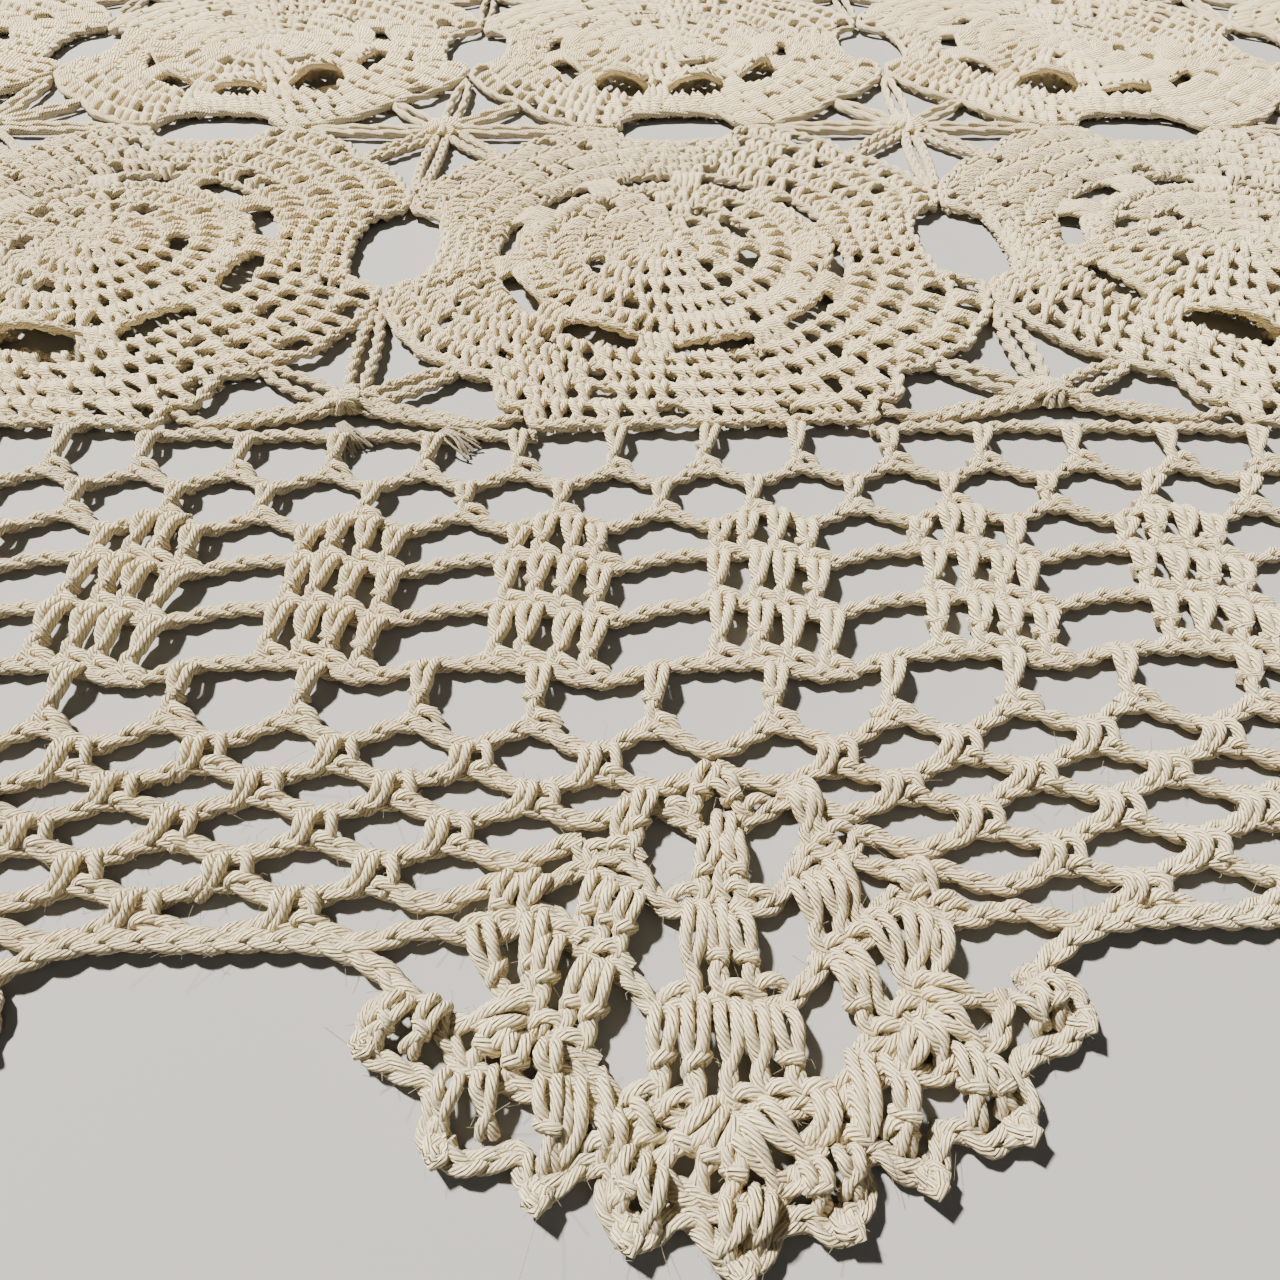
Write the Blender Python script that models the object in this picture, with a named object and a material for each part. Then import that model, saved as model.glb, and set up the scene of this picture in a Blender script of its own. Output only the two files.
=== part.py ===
"""A crochet table runner in cotton yarn, lying flat.

Round rosette motifs stand in a square grid. Stars of chain fill the corners between them, and a
wide border runs round the whole: open mesh, a band of blocks and spaces, a taller mesh, a net and
a row of fans with picots. Everything is counted in cells, one cell being one space of the mesh.
Each solid is a height field with a flat underside: its rim is one yarn thick and its rounds,
blocks and fan ribs stand up from that.
"""

import math

import bmesh
import bpy
from mathutils import Vector
from mathutils.geometry import delaunay_2d_cdt

# Driving sizes, in metres.
CELL = 0.0105
SEAM = 0.0003
RIM_HEIGHT = 0.0018
BLOCK_HEIGHT = 0.0026
RIB_HEIGHT = 0.0034

# The grid of motifs. From here on lengths are in cells.
MOTIF_PITCH = 8.0
MOTIFS_LONG = 5
MOTIFS_WIDE = 2
HALF_LONG = MOTIF_PITCH * MOTIFS_LONG / 2
HALF_WIDE = MOTIF_PITCH * MOTIFS_WIDE / 2
HALF_PITCH = MOTIF_PITCH / 2
SEAM_CELLS = SEAM / CELL

# Half of a motif's side, from its corner to its middle: (along the side, out from the centre).
# A shared side meets its neighbour at one pad and leaves half of a six-sided gap in the middle.
CORNER_FLAT = [(2.80, 3.00)]
SHARED_SIDE = [(2.55, 3.42), (2.10, 3.72), (1.62, 4.00), (1.12, 4.00), (0.87, 3.52), (0.30, 3.42)]
BORDER_SIDE = [(2.44, 3.08), (2.30, 3.60), (2.00, 3.68), (1.95, 4.00)]

# The rounds of a motif: (radius, points, height of the even points, of the odd ones, in metres).
ROUNDS = [
    (0.45, 10, 0.0034, 0.0034),
    (1.00, 10, 0.0026, 0.0026),
    (1.45, 20, 0.0036, 0.0030),
    (2.00, 20, 0.0046, 0.0034),
    (2.28, 20, 0.0014, 0.0014),
    (2.70, 20, 0.0028, 0.0026),
    (3.20, 20, 0.0021, 0.0025),
]
CENTRE_HEIGHT = 0.0030

# A star between four motifs: how far its legs reach and how wide they are.
HUB_RADIUS = 0.42
LEG_HALF_WIDTH = 0.13
JOINT_LEG = [(1.95, LEG_HALF_WIDTH), (1.76, 0.05)]
DIAGONAL_REACH = sum(CORNER_FLAT[0]) * math.sqrt(0.5) + SEAM_CELLS
STAR_HEIGHT = 0.0026

# Half of the half star at the border, from the joint of two motifs to the middle of one:
# (along the border, out from the edge line, so inward is negative).
HALF_STAR = [
    (0.05, -2.24),
    (0.13, -2.05),
    (0.13, -1.00),
    (0.30, -0.84),
    (0.99, -1.14),
    (1.14, -0.99),
    (0.58, -0.56),
    (0.80, -0.27),
    (1.97, -0.27),
    (2.02, 0.00),
]
# The same at a corner of the runner, where the only leg runs along the diagonal.
CORNER_LEG = [(1.14, -0.99), (0.50, -0.27), (1.97, -0.27), (2.02, 0.00)]

# Rows of the border: (inner edge, outer edge, pitch along the row, width of a gap, first gap).
ROW_HEIGHT = 0.643
MESH_GAPS = (0.15, 2 * ROW_HEIGHT - 0.13, 2.0, 1.68, 1.0)
BLOCK_GAPS = (2 * ROW_HEIGHT + 0.13, 5 * ROW_HEIGHT - 0.13, 2.0, 0.82, -0.45)
TALL_GAPS = (5 * ROW_HEIGHT + 0.10, 6 * ROW_HEIGHT - 0.08, 2.0, 1.72, 0.55)
CORNER_CLEAR = 0.35

# Fans, by the distance of their centres along a side, and one more on each corner.
LONG_FANS = (-15.6, -7.1, 0.0, 7.1, 15.6)
SHORT_FANS = (-3.55, 3.55)
FAN_BASE = 4.1
NET_EDGE = 5.40
# Half of a fan's edge, from the net to the tip: (across, out from the base).
FAN_EDGE = [
    (2.75, 1.36),
    (2.54, 1.62),
    (2.42, 1.94),
    (2.18, 1.98),
    (1.96, 1.74),
    (1.74, 2.36),
    (1.50, 2.40),
    (1.20, 2.20),
    (0.92, 2.84),
    (0.66, 2.88),
    (0.40, 2.60),
    (0.16, 3.02),
]
FAN_REACH = 3.05
# The gap beside a fan's middle rib, and the ribs themselves, both mirrored.
FAN_GAP = [(0.30, 0.62), (0.52, 0.62), (0.86, 1.86), (0.42, 1.96), (0.24, 1.30)]
FAN_RIBS = [(0.00, 0.75), (0.00, 1.40), (0.00, 2.05), (0.00, 2.62)]
FAN_SIDE_RIBS = [(0.62, 0.35), (1.02, 0.90), (1.28, 1.60), (0.72, 2.42), (1.56, 2.05), (2.18, 1.72)]

# How unevenly the cloth lies: the rows dip toward each fan, from the blocks outward, and the
# whole cloth is drawn into long shallow waves.
DIP = 0.09
DIP_STARTS = 2.0
DIP_FULL = 4.0
WAVE = 0.08
WAVE_ALONG = 0.43
WAVE_ACROSS = 0.55


def clear_scene():
    for thing in list(bpy.data.objects):
        bpy.data.objects.remove(thing, do_unlink=True)


def yarn_material(name, colour, roughness):
    material = bpy.data.materials.new(name)
    material.use_nodes = True
    shader = material.node_tree.nodes["Principled BSDF"]
    shader.inputs["Base Color"].default_value = (*colour, 1.0)
    shader.inputs["Roughness"].default_value = roughness
    shader.inputs["Metallic"].default_value = 0.0
    return material


def inside(point, loop):
    """Whether a flat point lies inside a closed loop of points."""
    x, y = point
    odd = False
    for (ax, ay), (bx, by) in zip(loop, loop[1:] + loop[:1]):
        if (ay > y) != (by > y) and x < ax + (y - ay) / (by - ay) * (bx - ax):
            odd = not odd
    return odd


def box_of(loop):
    xs = [x for x, _ in loop]
    ys = [y for _, y in loop]
    return min(xs), min(ys), max(xs), max(ys)


def triangles(loops, loose):
    """Triangles between an outer loop and the loops cut out of it, through the loose points too.

    A triangle holds three indices into the points of all the loops, followed by the loose ones.
    """
    points = [Vector(p) for loop in loops for p in loop] + [Vector(p) for p in loose]
    edges = []
    start = 0
    for loop in loops:
        edges += [(start + i, start + (i + 1) % len(loop)) for i in range(len(loop))]
        start += len(loop)
    found, _, faces, sources, _, _ = delaunay_2d_cdt(points, edges, [], 0, 1e-7)
    boxes = [(box_of(loop), loop) for loop in loops[1:]]
    kept = []
    for face in faces:
        middle = sum((found[i] for i in face), Vector((0.0, 0.0))) / 3
        x, y = middle
        if not inside((x, y), loops[0]):
            continue
        if any(
            x0 < x < x1 and y0 < y < y1 and inside((x, y), loop)
            for (x0, y0, x1, y1), loop in boxes
        ):
            continue
        kept.append([sources[i][0] for i in face])
    return kept


def laid(x, y):
    """Where a point of the even layout, in cells, comes to lie in the waves of the cloth, in metres."""
    return (
        (x + WAVE * math.sin(WAVE_ACROSS * y)) * CELL,
        (y + WAVE * math.sin(WAVE_ALONG * x)) * CELL,
    )


def sheet_solid(name, loops, bumps, rim_height, material):
    """A solid with a flat underside. Loops are in cells; a bump is (x, y, height in metres)."""
    rim = [laid(x, y) for loop in loops for x, y in loop]
    tops = [(*laid(x, y), height) for x, y, height in bumps]
    mesh = bmesh.new()
    upper = [mesh.verts.new((x, y, rim_height)) for x, y in rim]
    upper += [mesh.verts.new(top) for top in tops]
    lower = [mesh.verts.new((x, y, 0.0)) for x, y in rim]
    for corners in triangles(loops, [(x, y) for x, y, _ in bumps]):
        mesh.faces.new([upper[i] for i in corners])
    for corners in triangles(loops, []):
        mesh.faces.new([lower[i] for i in reversed(corners)])
    start = 0
    for loop in loops:
        for i in range(len(loop)):
            a = start + i
            b = start + (i + 1) % len(loop)
            mesh.faces.new([upper[a], upper[b], lower[b], lower[a]])
        start += len(loop)
    bmesh.ops.recalc_face_normals(mesh, faces=mesh.faces)
    data = bpy.data.meshes.new(name)
    mesh.to_mesh(data)
    mesh.free()
    data.materials.append(material)
    thing = bpy.data.objects.new(name, data)
    bpy.context.scene.collection.objects.link(thing)
    return thing


def turned(point, quarter):
    """A point turned about the origin by a number of quarter turns."""
    x, y = point
    for _ in range(quarter % 4):
        x, y = -y, x
    return x, y


def mirrored_side(half):
    """A whole side from its half: the half backwards with its sign changed, then the half."""
    return [(-x, y) for x, y in half] + [(x, y) for x, y in reversed(half)]


def motif_outline(centre, on_border):
    """A motif's outline, counter-clockwise. on_border tells which sides, from the front, are edges."""
    outline = []
    for quarter in range(4):
        half = CORNER_FLAT + (BORDER_SIDE if on_border[quarter] else SHARED_SIDE)
        for along, out in mirrored_side(half):
            out = min(out, HALF_PITCH - SEAM_CELLS / 2)
            x, y = turned((along, -out), quarter)
            outline.append((centre[0] + x, centre[1] + y))
    return outline


def motif_bumps(centre):
    bumps = [(*centre, CENTRE_HEIGHT)]
    for radius, count, even, odd in ROUNDS:
        for i in range(count):
            angle = 2 * math.pi * (i + 0.5) / count
            height = odd if i % 2 else even
            bumps.append(
                (centre[0] + radius * math.cos(angle), centre[1] + radius * math.sin(angle), height)
            )
    return bumps


def star_outline(centre):
    """Eight legs round a hub: four reach the joints of the motifs, four their rounded corners."""
    outline = []
    for leg in range(8):
        angle = leg * math.pi / 4
        if leg % 2:
            reach = math.hypot(HALF_PITCH, HALF_PITCH) - DIAGONAL_REACH
            side = [(reach, LEG_HALF_WIDTH)]
        else:
            side = [(HALF_PITCH - t, w) for t, w in JOINT_LEG]
        notch = [(HUB_RADIUS, -HUB_RADIUS * math.tan(math.pi / 8))]
        points = notch + [(r, -w) for r, w in side] + [(r, w) for r, w in reversed(side)]
        for r, w in points:
            x = r * math.cos(angle) - w * math.sin(angle)
            y = r * math.sin(angle) + w * math.cos(angle)
            outline.append((centre[0] + x, centre[1] + y))
    return outline


# The four sides of the runner, counter-clockwise from the front. A side's own frame has s along
# it, in that direction, and v outward from the edge line of the motifs.
SIDES = ("front", "right", "back", "left")


def half_length(quarter):
    return HALF_WIDE if quarter % 2 else HALF_LONG


def half_depth(quarter):
    return HALF_LONG if quarter % 2 else HALF_WIDE


def fans_of(quarter):
    return SHORT_FANS if quarter % 2 else LONG_FANS


def dip(quarter, s, v):
    """How far a point of a side is drawn outward: most at a fan, least half way between two."""
    share = min(max((v - DIP_STARTS) / (DIP_FULL - DIP_STARTS), 0.0), 1.0)
    corner = half_length(quarter) + FAN_BASE
    stops = (-corner, *fans_of(quarter), corner)
    for left, right in zip(stops, stops[1:]):
        if left <= s <= right:
            return DIP * share * math.cos(2 * math.pi * (s - left) / (right - left))
    return DIP * share


def on_side(quarter, s, v):
    return turned((s, -(half_depth(quarter) + v + dip(quarter, s, v))), quarter)


def on_corner(quarter, across, out):
    """A point of the fan on the corner after a side, from the fan's base on the diagonal."""
    step = math.sqrt(0.5)
    s = half_length(quarter) + FAN_BASE + (out + across) * step
    v = FAN_BASE + (out - across) * step
    return on_side(quarter, s, v)


def edge_gap(v):
    """Moves what lies on the edge line outward, so that the seam to the motifs stays open."""
    return v if v < 0.0 else v + SEAM_CELLS / 2


def inner_outline():
    """The border's inner edge: a half star at each joint of two motifs, a leg at each corner."""
    outline = []
    for quarter in range(4):
        reach = half_length(quarter)
        outline += [on_side(quarter, a - reach, edge_gap(v)) for a, v in CORNER_LEG]
        for joint in range(1, round(2 * reach / MOTIF_PITCH)):
            s = joint * MOTIF_PITCH - reach
            outline += [on_side(quarter, s - a, edge_gap(v)) for a, v in reversed(HALF_STAR)]
            outline += [on_side(quarter, s + a, edge_gap(v)) for a, v in HALF_STAR]
        outline += [on_side(quarter, reach - a, edge_gap(v)) for a, v in reversed(CORNER_LEG)]
    return outline


def outer_outline():
    """The border's outer edge: fans with picots, the net's edge between them, a fan on each corner."""
    outline = []
    for quarter in range(4):
        end = half_length(quarter) + FAN_BASE
        rise = [(end - 1.5, NET_EDGE + 0.02), (end - 1.1, NET_EDGE + 0.2), (end - 0.95, NET_EDGE + 0.9)]
        outline += [on_side(quarter, -s, v) for s, v in reversed(rise)]
        for fan in fans_of(quarter):
            half = [(across, FAN_BASE + out) for across, out in FAN_EDGE]
            outline += [on_side(quarter, fan - a, v) for a, v in half]
            outline.append(on_side(quarter, fan, FAN_BASE + FAN_REACH))
            outline += [on_side(quarter, fan + a, v) for a, v in reversed(half)]
        outline += [on_side(quarter, s, v) for s, v in rise]
        corner = FAN_EDGE[1:]
        outline += [on_corner(quarter, -a, out) for a, out in corner]
        outline.append(on_corner(quarter, 0.0, FAN_REACH))
        outline += [on_corner(quarter, a, out) for a, out in reversed(corner)]
    return outline


def row_gaps(quarter, inner, outer, pitch, width, first):
    """The gaps of one row along one side, as far as the corner leaves room for them."""
    reach = half_length(quarter) + inner - CORNER_CLEAR - width / 2
    most = int(2 * reach / pitch) + 1
    gaps = []
    for step in range(-most, most + 1):
        s = first + step * pitch
        if abs(s) <= reach:
            low, high = s - width / 2, s + width / 2
            corners = [(low, outer), (high, outer), (high, inner), (low, inner)]
            gaps.append([on_side(quarter, a, v) for a, v in corners])
    return gaps


def fan_gaps(quarter):
    gaps = []
    for fan in fans_of(quarter):
        for hand in (-1, 1):
            gaps.append([on_side(quarter, fan + hand * a, FAN_BASE + out) for a, out in FAN_GAP])
    return gaps


def border_bumps():
    """The raised blocks between the spaces, and the ribs of the fans."""
    inner, outer, pitch, _, first = BLOCK_GAPS
    bumps = []
    for quarter in range(4):
        reach = half_length(quarter) + inner - CORNER_CLEAR - pitch / 2
        most = int(reach / pitch) + 1
        for step in range(-most, most + 1):
            s = first + (step + 0.5) * pitch
            if abs(s) > reach:
                continue
            for share in (0.2, 0.8):
                v = inner + share * (outer - inner)
                bumps.append((*on_side(quarter, s, v), BLOCK_HEIGHT))
        for fan in fans_of(quarter):
            for across, out in FAN_RIBS:
                bumps.append((*on_side(quarter, fan + across, FAN_BASE + out), RIB_HEIGHT))
            for across, out in FAN_SIDE_RIBS:
                for hand in (-1, 1):
                    place = on_side(quarter, fan + hand * across, FAN_BASE + out)
                    bumps.append((*place, RIB_HEIGHT))
        for across, out in FAN_RIBS + FAN_SIDE_RIBS:
            for hand in (-1, 1) if across else (1,):
                bumps.append((*on_corner(quarter, hand * across, out), RIB_HEIGHT))
    return bumps


def build_motifs(material):
    for row in range(MOTIFS_WIDE):
        for column in range(MOTIFS_LONG):
            centre = (
                (column + 0.5) * MOTIF_PITCH - HALF_LONG,
                (row + 0.5) * MOTIF_PITCH - HALF_WIDE,
            )
            on_border = (
                row == 0,
                column == MOTIFS_LONG - 1,
                row == MOTIFS_WIDE - 1,
                column == 0,
            )
            name = f"motif_{('front', 'back')[row]}_{column + 1}"
            outline = motif_outline(centre, on_border)
            sheet_solid(name, [outline], motif_bumps(centre), RIM_HEIGHT, material)


def build_stars(material):
    for joint in range(1, MOTIFS_LONG):
        centre = (joint * MOTIF_PITCH - HALF_LONG, 0.0)
        bumps = [(*centre, STAR_HEIGHT)]
        sheet_solid(f"star_{joint}", [star_outline(centre)], bumps, RIM_HEIGHT, material)


def build_border(material):
    loops = [outer_outline(), inner_outline()]
    for quarter in range(4):
        for row in (MESH_GAPS, BLOCK_GAPS, TALL_GAPS):
            loops += row_gaps(quarter, *row)
        loops += fan_gaps(quarter)
    print("gaps cut in the border:", len(loops) - 2)
    sheet_solid("border", loops, border_bumps(), RIM_HEIGHT, material)


def main():
    clear_scene()
    cotton = (0.66, 0.58, 0.46)
    build_motifs(yarn_material("motif_cotton", cotton, 0.92))
    build_stars(yarn_material("star_cotton", cotton, 0.92))
    build_border(yarn_material("border_cotton", cotton, 0.92))


main()
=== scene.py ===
# %% [markdown]
# # A crochet table runner, stitch by stitch
#
# The runner is cotton yarn, looped over itself thousands of times. The solids of the packed
# frame already have its outline, its larger gaps and its thickness. This lesson lays the yarn
# itself over them: each stitch is a few short strands, all strands are drawn as polylines, and
# one Geometry Nodes tree turns the polylines into round, twisted yarn.

# %% Load the frame
import math

import bpy
import numpy as np
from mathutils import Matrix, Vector


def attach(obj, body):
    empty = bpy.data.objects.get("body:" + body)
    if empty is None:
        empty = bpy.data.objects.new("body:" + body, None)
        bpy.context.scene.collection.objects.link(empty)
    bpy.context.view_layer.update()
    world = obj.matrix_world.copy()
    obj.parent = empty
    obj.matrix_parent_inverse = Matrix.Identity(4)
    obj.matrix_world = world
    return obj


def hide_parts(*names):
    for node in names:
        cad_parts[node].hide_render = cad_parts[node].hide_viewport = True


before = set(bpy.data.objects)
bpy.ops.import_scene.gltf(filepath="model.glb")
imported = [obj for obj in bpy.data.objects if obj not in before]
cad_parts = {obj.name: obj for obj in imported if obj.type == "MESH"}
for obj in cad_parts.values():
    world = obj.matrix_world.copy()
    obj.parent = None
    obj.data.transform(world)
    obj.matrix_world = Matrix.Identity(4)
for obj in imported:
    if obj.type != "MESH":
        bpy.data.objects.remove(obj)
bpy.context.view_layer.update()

print("solids:", len(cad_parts), "nodes")

# %% [markdown]
# ## The layout, counted in cells
#
# Filet crochet is charted on squared paper, and so is this runner: one cell is one space of its
# mesh, and every place below is counted in cells. The same few sizes built the solids, so a
# stitch that is placed by them lies on its solid with no fitting.

# %% Sizes in cells
CELL = 0.0105
MOTIF_PITCH = 8.0
MOTIFS_LONG = 5
MOTIFS_WIDE = 2
HALF_LONG = MOTIF_PITCH * MOTIFS_LONG / 2
HALF_WIDE = MOTIF_PITCH * MOTIFS_WIDE / 2
HALF_PITCH = MOTIF_PITCH / 2
FAN_BASE = 4.1
NET_EDGE = 5.43
LONG_FANS = (-15.6, -7.1, 0.0, 7.1, 15.6)
SHORT_FANS = (-3.55, 3.55)
# Half the thickness of the yarn in a treble.
YARN = 0.046
print("one cell is", CELL * 1000, "mm and the yarn", round(2 * YARN * CELL * 1000, 2), "mm")

# %% [markdown]
# ## From a side of the border to the cloth
#
# The border is worked in rows round the motifs, so its stitches are easiest to place in a frame
# of their own: s runs along a side and v outward from the edge of the motifs. Three small
# functions carry such a point to the cloth: the rows dip toward each fan, the side is turned to
# its place, and the whole cloth lies in long shallow waves.

# %% The maps
DIP = 0.09
DIP_STARTS = 2.0
DIP_FULL = 4.0
WAVE = 0.08
WAVE_ALONG = 0.43
WAVE_ACROSS = 0.55


def half_length(quarter):
    return HALF_WIDE if quarter % 2 else HALF_LONG


def fans_of(quarter):
    return SHORT_FANS if quarter % 2 else LONG_FANS


def turned(x, y, quarter):
    for _ in range(quarter % 4):
        x, y = -y, x
    return x, y


def dip(quarter, s, v):
    """How far the rows are drawn outward at each point."""
    share = np.clip((v - DIP_STARTS) / (DIP_FULL - DIP_STARTS), 0.0, 1.0)
    corner = half_length(quarter) + FAN_BASE
    stops = np.array((-corner, *fans_of(quarter), corner))
    place = np.clip(np.searchsorted(stops, s), 1, len(stops) - 1)
    left, right = stops[place - 1], stops[place]
    return DIP * share * np.cos(2 * np.pi * np.clip((s - left) / (right - left), 0, 1))


print("the rows dip by", DIP, "cells at each fan")

# %% From a side to the cloth


def side_point(quarter, points):
    """Points (s, v) or (s, v, z) of a side, carried to the even layout."""
    points = np.asarray(points, float)
    s, v = points[..., 0], points[..., 1]
    depth = HALF_LONG if quarter % 2 else HALF_WIDE
    x, y = turned(s, -(depth + v + dip(quarter, s, v)), quarter)
    return np.stack([x, y, *np.moveaxis(points[..., 2:], -1, 0)], axis=-1)


def corner_point(quarter, points):
    """Points (across, out) of the fan on the corner after a side."""
    points = np.asarray(points, float)
    across, out = points[..., 0], points[..., 1]
    step = math.sqrt(0.5)
    s = half_length(quarter) + FAN_BASE + (out + across) * step
    v = FAN_BASE + (out - across) * step
    return side_point(quarter, np.stack([s, v, *np.moveaxis(points[..., 2:], -1, 0)], axis=-1))


def laid(points):
    """The waves of the whole cloth, and the change from cells to metres."""
    x, y, z = np.moveaxis(points, -1, 0)
    waved = [x + WAVE * np.sin(WAVE_ACROSS * y), y + WAVE * np.sin(WAVE_ALONG * x), z]
    return np.stack(waved, axis=-1) * CELL


edge_middle = laid(side_point(0, (0.0, 0.0, 0.0)))
print("the motifs' near edge has its middle at", edge_middle.round(4), "in metres")

# %% [markdown]
# ## How finely each stitch is drawn
#
# A stitch that the camera sees from a hand's breadth away deserves every strand, and one on the
# far side of the runner needs only its form. The picture is taken from close above the near edge,
# so detail falls off with the distance from the camera's foot.

# %% Camera place and levels of detail
CAMERA_HEIGHT = 5.47
CAMERA_BACK = 6.76
CAMERA_LEFT = -0.63
CAMERA_PITCH = math.radians(54.2)
FOCAL_PIXELS = 750.0
PICTURE_PIXELS = 1280.0
FINE, MEDIUM, PLAIN, FUZZ = 0, 1, 2, 3
SIDES = {FINE: 6, MEDIUM: 5, PLAIN: 4, FUZZ: 3}
STEPS = {FINE: 2, MEDIUM: 1, PLAIN: 1}
# What the camera sees widens with its reach, from a little behind its foot.
SEEN_SPREAD = 0.5
SEEN_MARGIN = 0.6
SEEN_BEHIND = 1.2
FINE_REACH = 10.7
MEDIUM_REACH = 22.2


def level_of(points):
    """The level of each flat place: fine in front, medium behind it, plain far off or unseen."""
    x, y = points[..., 0], points[..., 1]
    ahead = y + HALF_WIDE + CAMERA_BACK
    reach = ahead + CAMERA_HEIGHT * math.tan(CAMERA_PITCH)
    seen = (np.abs(x - CAMERA_LEFT) < SEEN_SPREAD * reach + SEEN_MARGIN) & (ahead > -SEEN_BEHIND)
    fine = seen & (reach < FINE_REACH)
    medium = seen & (reach < MEDIUM_REACH)
    return np.where(fine, FINE, np.where(medium, MEDIUM, PLAIN))


print("fine stitches lie within", FINE_REACH, "cells of reach, medium ones within", MEDIUM_REACH)

# %% [markdown]
# ## A basket of strands
#
# Every stitch drops its strands in a basket, as arrays of points with a girth. The basket knows
# which piece and which level they are for. Smooth curves pass through the few points that a
# strand is given. A curve object for each strand would do that too, but the weights of such a
# curve are the same for all strands with as many points, so thousands of strands are smoothed in
# one multiplication.

# %% Strands
rng = np.random.default_rng(7)
basket = {}
# A strand's middle stays this share of its half thickness above the floor.
FLOOR_SHARE = 0.9


def smoothing(count, steps):
    """The weights that turn count points into a smooth curve with steps parts a span."""
    rows = []
    for span in range(count - 1):
        for step in range(steps):
            t = step / steps
            row = np.zeros(count)
            near = [max(span - 1, 0), span, span + 1, min(span + 2, count - 1)]
            weights = (
                -0.5 * t + t * t - 0.5 * t**3,
                1 - 2.5 * t * t + 1.5 * t**3,
                0.5 * t + 2 * t * t - 1.5 * t**3,
                -0.5 * t * t + 0.5 * t**3,
            )
            for place, weight in zip(near, weights):
                row[place] += weight
            rows.append(row)
    last = np.zeros(count)
    last[-1] = 1
    return np.array(rows + [last])


def drop(piece, level, strands, girth):
    """Adds strands, an array (strand, point, xyz) in the even layout, to a piece's basket."""
    strands = np.asarray(strands, float)
    strands[..., 2] = np.maximum(strands[..., 2], girth * FLOOR_SHARE)
    basket.setdefault((piece, level), []).append((strands, girth))


print("six points are smoothed into", len(smoothing(6, STEPS[FINE])))

# %% [markdown]
# ## The stitches
#
# A treble stands between two rows. Seen from above its yarn hooks over the chain behind it as
# two rounded strands, runs down as a slanted stem with one wrap round it, and splits at the foot
# into the chain of the next row, leaving a tiny eye. Each stitch below is a chart of strands:
# a across, in cells, b along, 0 at the stitch's start and 1 at its end, and z up, in cells. A
# knot of the net is the same idea, shorter, with one strand standing apart on its right.

# %% Stitch charts
POST = [
    [(-0.055, -0.15, 0.02), (-0.068, -0.03, 0.14), (-0.065, 0.14, 0.185), (-0.048, 0.32, 0.155),
     (-0.005, 0.50, 0.11), (0.022, 0.66, 0.10), (-0.020, 0.82, 0.09), (-0.115, 0.96, 0.06)],
    [(0.045, -0.16, 0.02), (0.052, -0.03, 0.14), (0.055, 0.14, 0.19), (0.048, 0.32, 0.165),
     (0.025, 0.48, 0.13), (-0.030, 0.64, 0.12), (-0.010, 0.81, 0.10), (0.050, 0.94, 0.06)],
    [(-0.020, 0.47, 0.03), (-0.075, 0.42, 0.11), (0.035, 0.48, 0.175), (0.035, 0.57, 0.04)],
    [(-0.020, 0.84, 0.06), (0.070, 0.76, 0.13), (0.175, 0.81, 0.12), (0.235, 0.93, 0.05)],
]
TIGHT = [
    [(-0.050, -0.14, 0.03), (-0.056, 0.00, 0.15), (-0.054, 0.22, 0.18), (-0.038, 0.45, 0.15),
     (0.005, 0.72, 0.11), (0.025, 0.94, 0.08), (0.030, 1.06, 0.03)],
    [(0.040, -0.14, 0.03), (0.048, 0.00, 0.15), (0.050, 0.22, 0.185), (0.038, 0.45, 0.16),
     (-0.005, 0.72, 0.12), (-0.040, 0.94, 0.08), (-0.050, 1.08, 0.03)],
    [(-0.025, 0.52, 0.03), (-0.072, 0.47, 0.12), (0.040, 0.55, 0.185), (0.035, 0.63, 0.05)],
]
GRAIN = [
    [(-0.040, -0.16, 0.03), (-0.056, 0.08, 0.165), (-0.030, 0.42, 0.185), (0.040, 0.78, 0.115),
     (0.052, 1.06, 0.03)],
    [(0.040, -0.16, 0.03), (0.056, 0.08, 0.165), (0.026, 0.44, 0.145), (-0.042, 0.78, 0.125),
     (-0.058, 1.06, 0.03)],
]
KNOT = [
    [(-0.120, -0.38, 0.02), (-0.125, -0.10, 0.13), (-0.110, 0.26, 0.18), (-0.125, 0.64, 0.14),
     (-0.200, 0.98, 0.10), (-0.290, 1.16, 0.05)],
    [(-0.030, -0.40, 0.02), (-0.035, -0.10, 0.14), (-0.025, 0.28, 0.19), (-0.040, 0.66, 0.15),
     (-0.100, 1.02, 0.11), (-0.210, 1.18, 0.04)],
    [(0.080, -0.38, 0.02), (0.095, -0.14, 0.13), (0.130, 0.16, 0.16), (0.145, 0.52, 0.14),
     (0.130, 0.84, 0.11), (0.080, 1.10, 0.08)],
    [(0.000, 0.92, 0.08), (0.060, 0.76, 0.14), (0.150, 0.82, 0.12), (0.210, 0.95, 0.05)],
]
PLAIN_POST = [
    [(-0.040, -0.12, 0.05), (-0.040, 0.15, 0.16), (0.010, 0.55, 0.12), (-0.020, 1.0, 0.07)],
    [(0.040, -0.12, 0.05), (0.045, 0.15, 0.16), (-0.020, 0.55, 0.13), (0.060, 1.0, 0.06)],
]
PLAIN_STEM = [[(0.0, -0.10, 0.06), (-0.01, 0.2, 0.16), (0.01, 0.6, 0.13), (0.0, 1.0, 0.08)]]
CHARTS = {"post": POST, "tight": TIGHT, "grain": GRAIN, "knot": KNOT}
PLAIN_CHARTS = {"post": PLAIN_POST, "tight": PLAIN_STEM, "grain": PLAIN_STEM, "knot": PLAIN_POST}
PLAIN_GIRTH = {"post": 1.25, "tight": 1.8, "grain": 1.8, "knot": 1.35}
print("strands of each kind:", {kind: len(chart) for kind, chart in CHARTS.items()})

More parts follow.
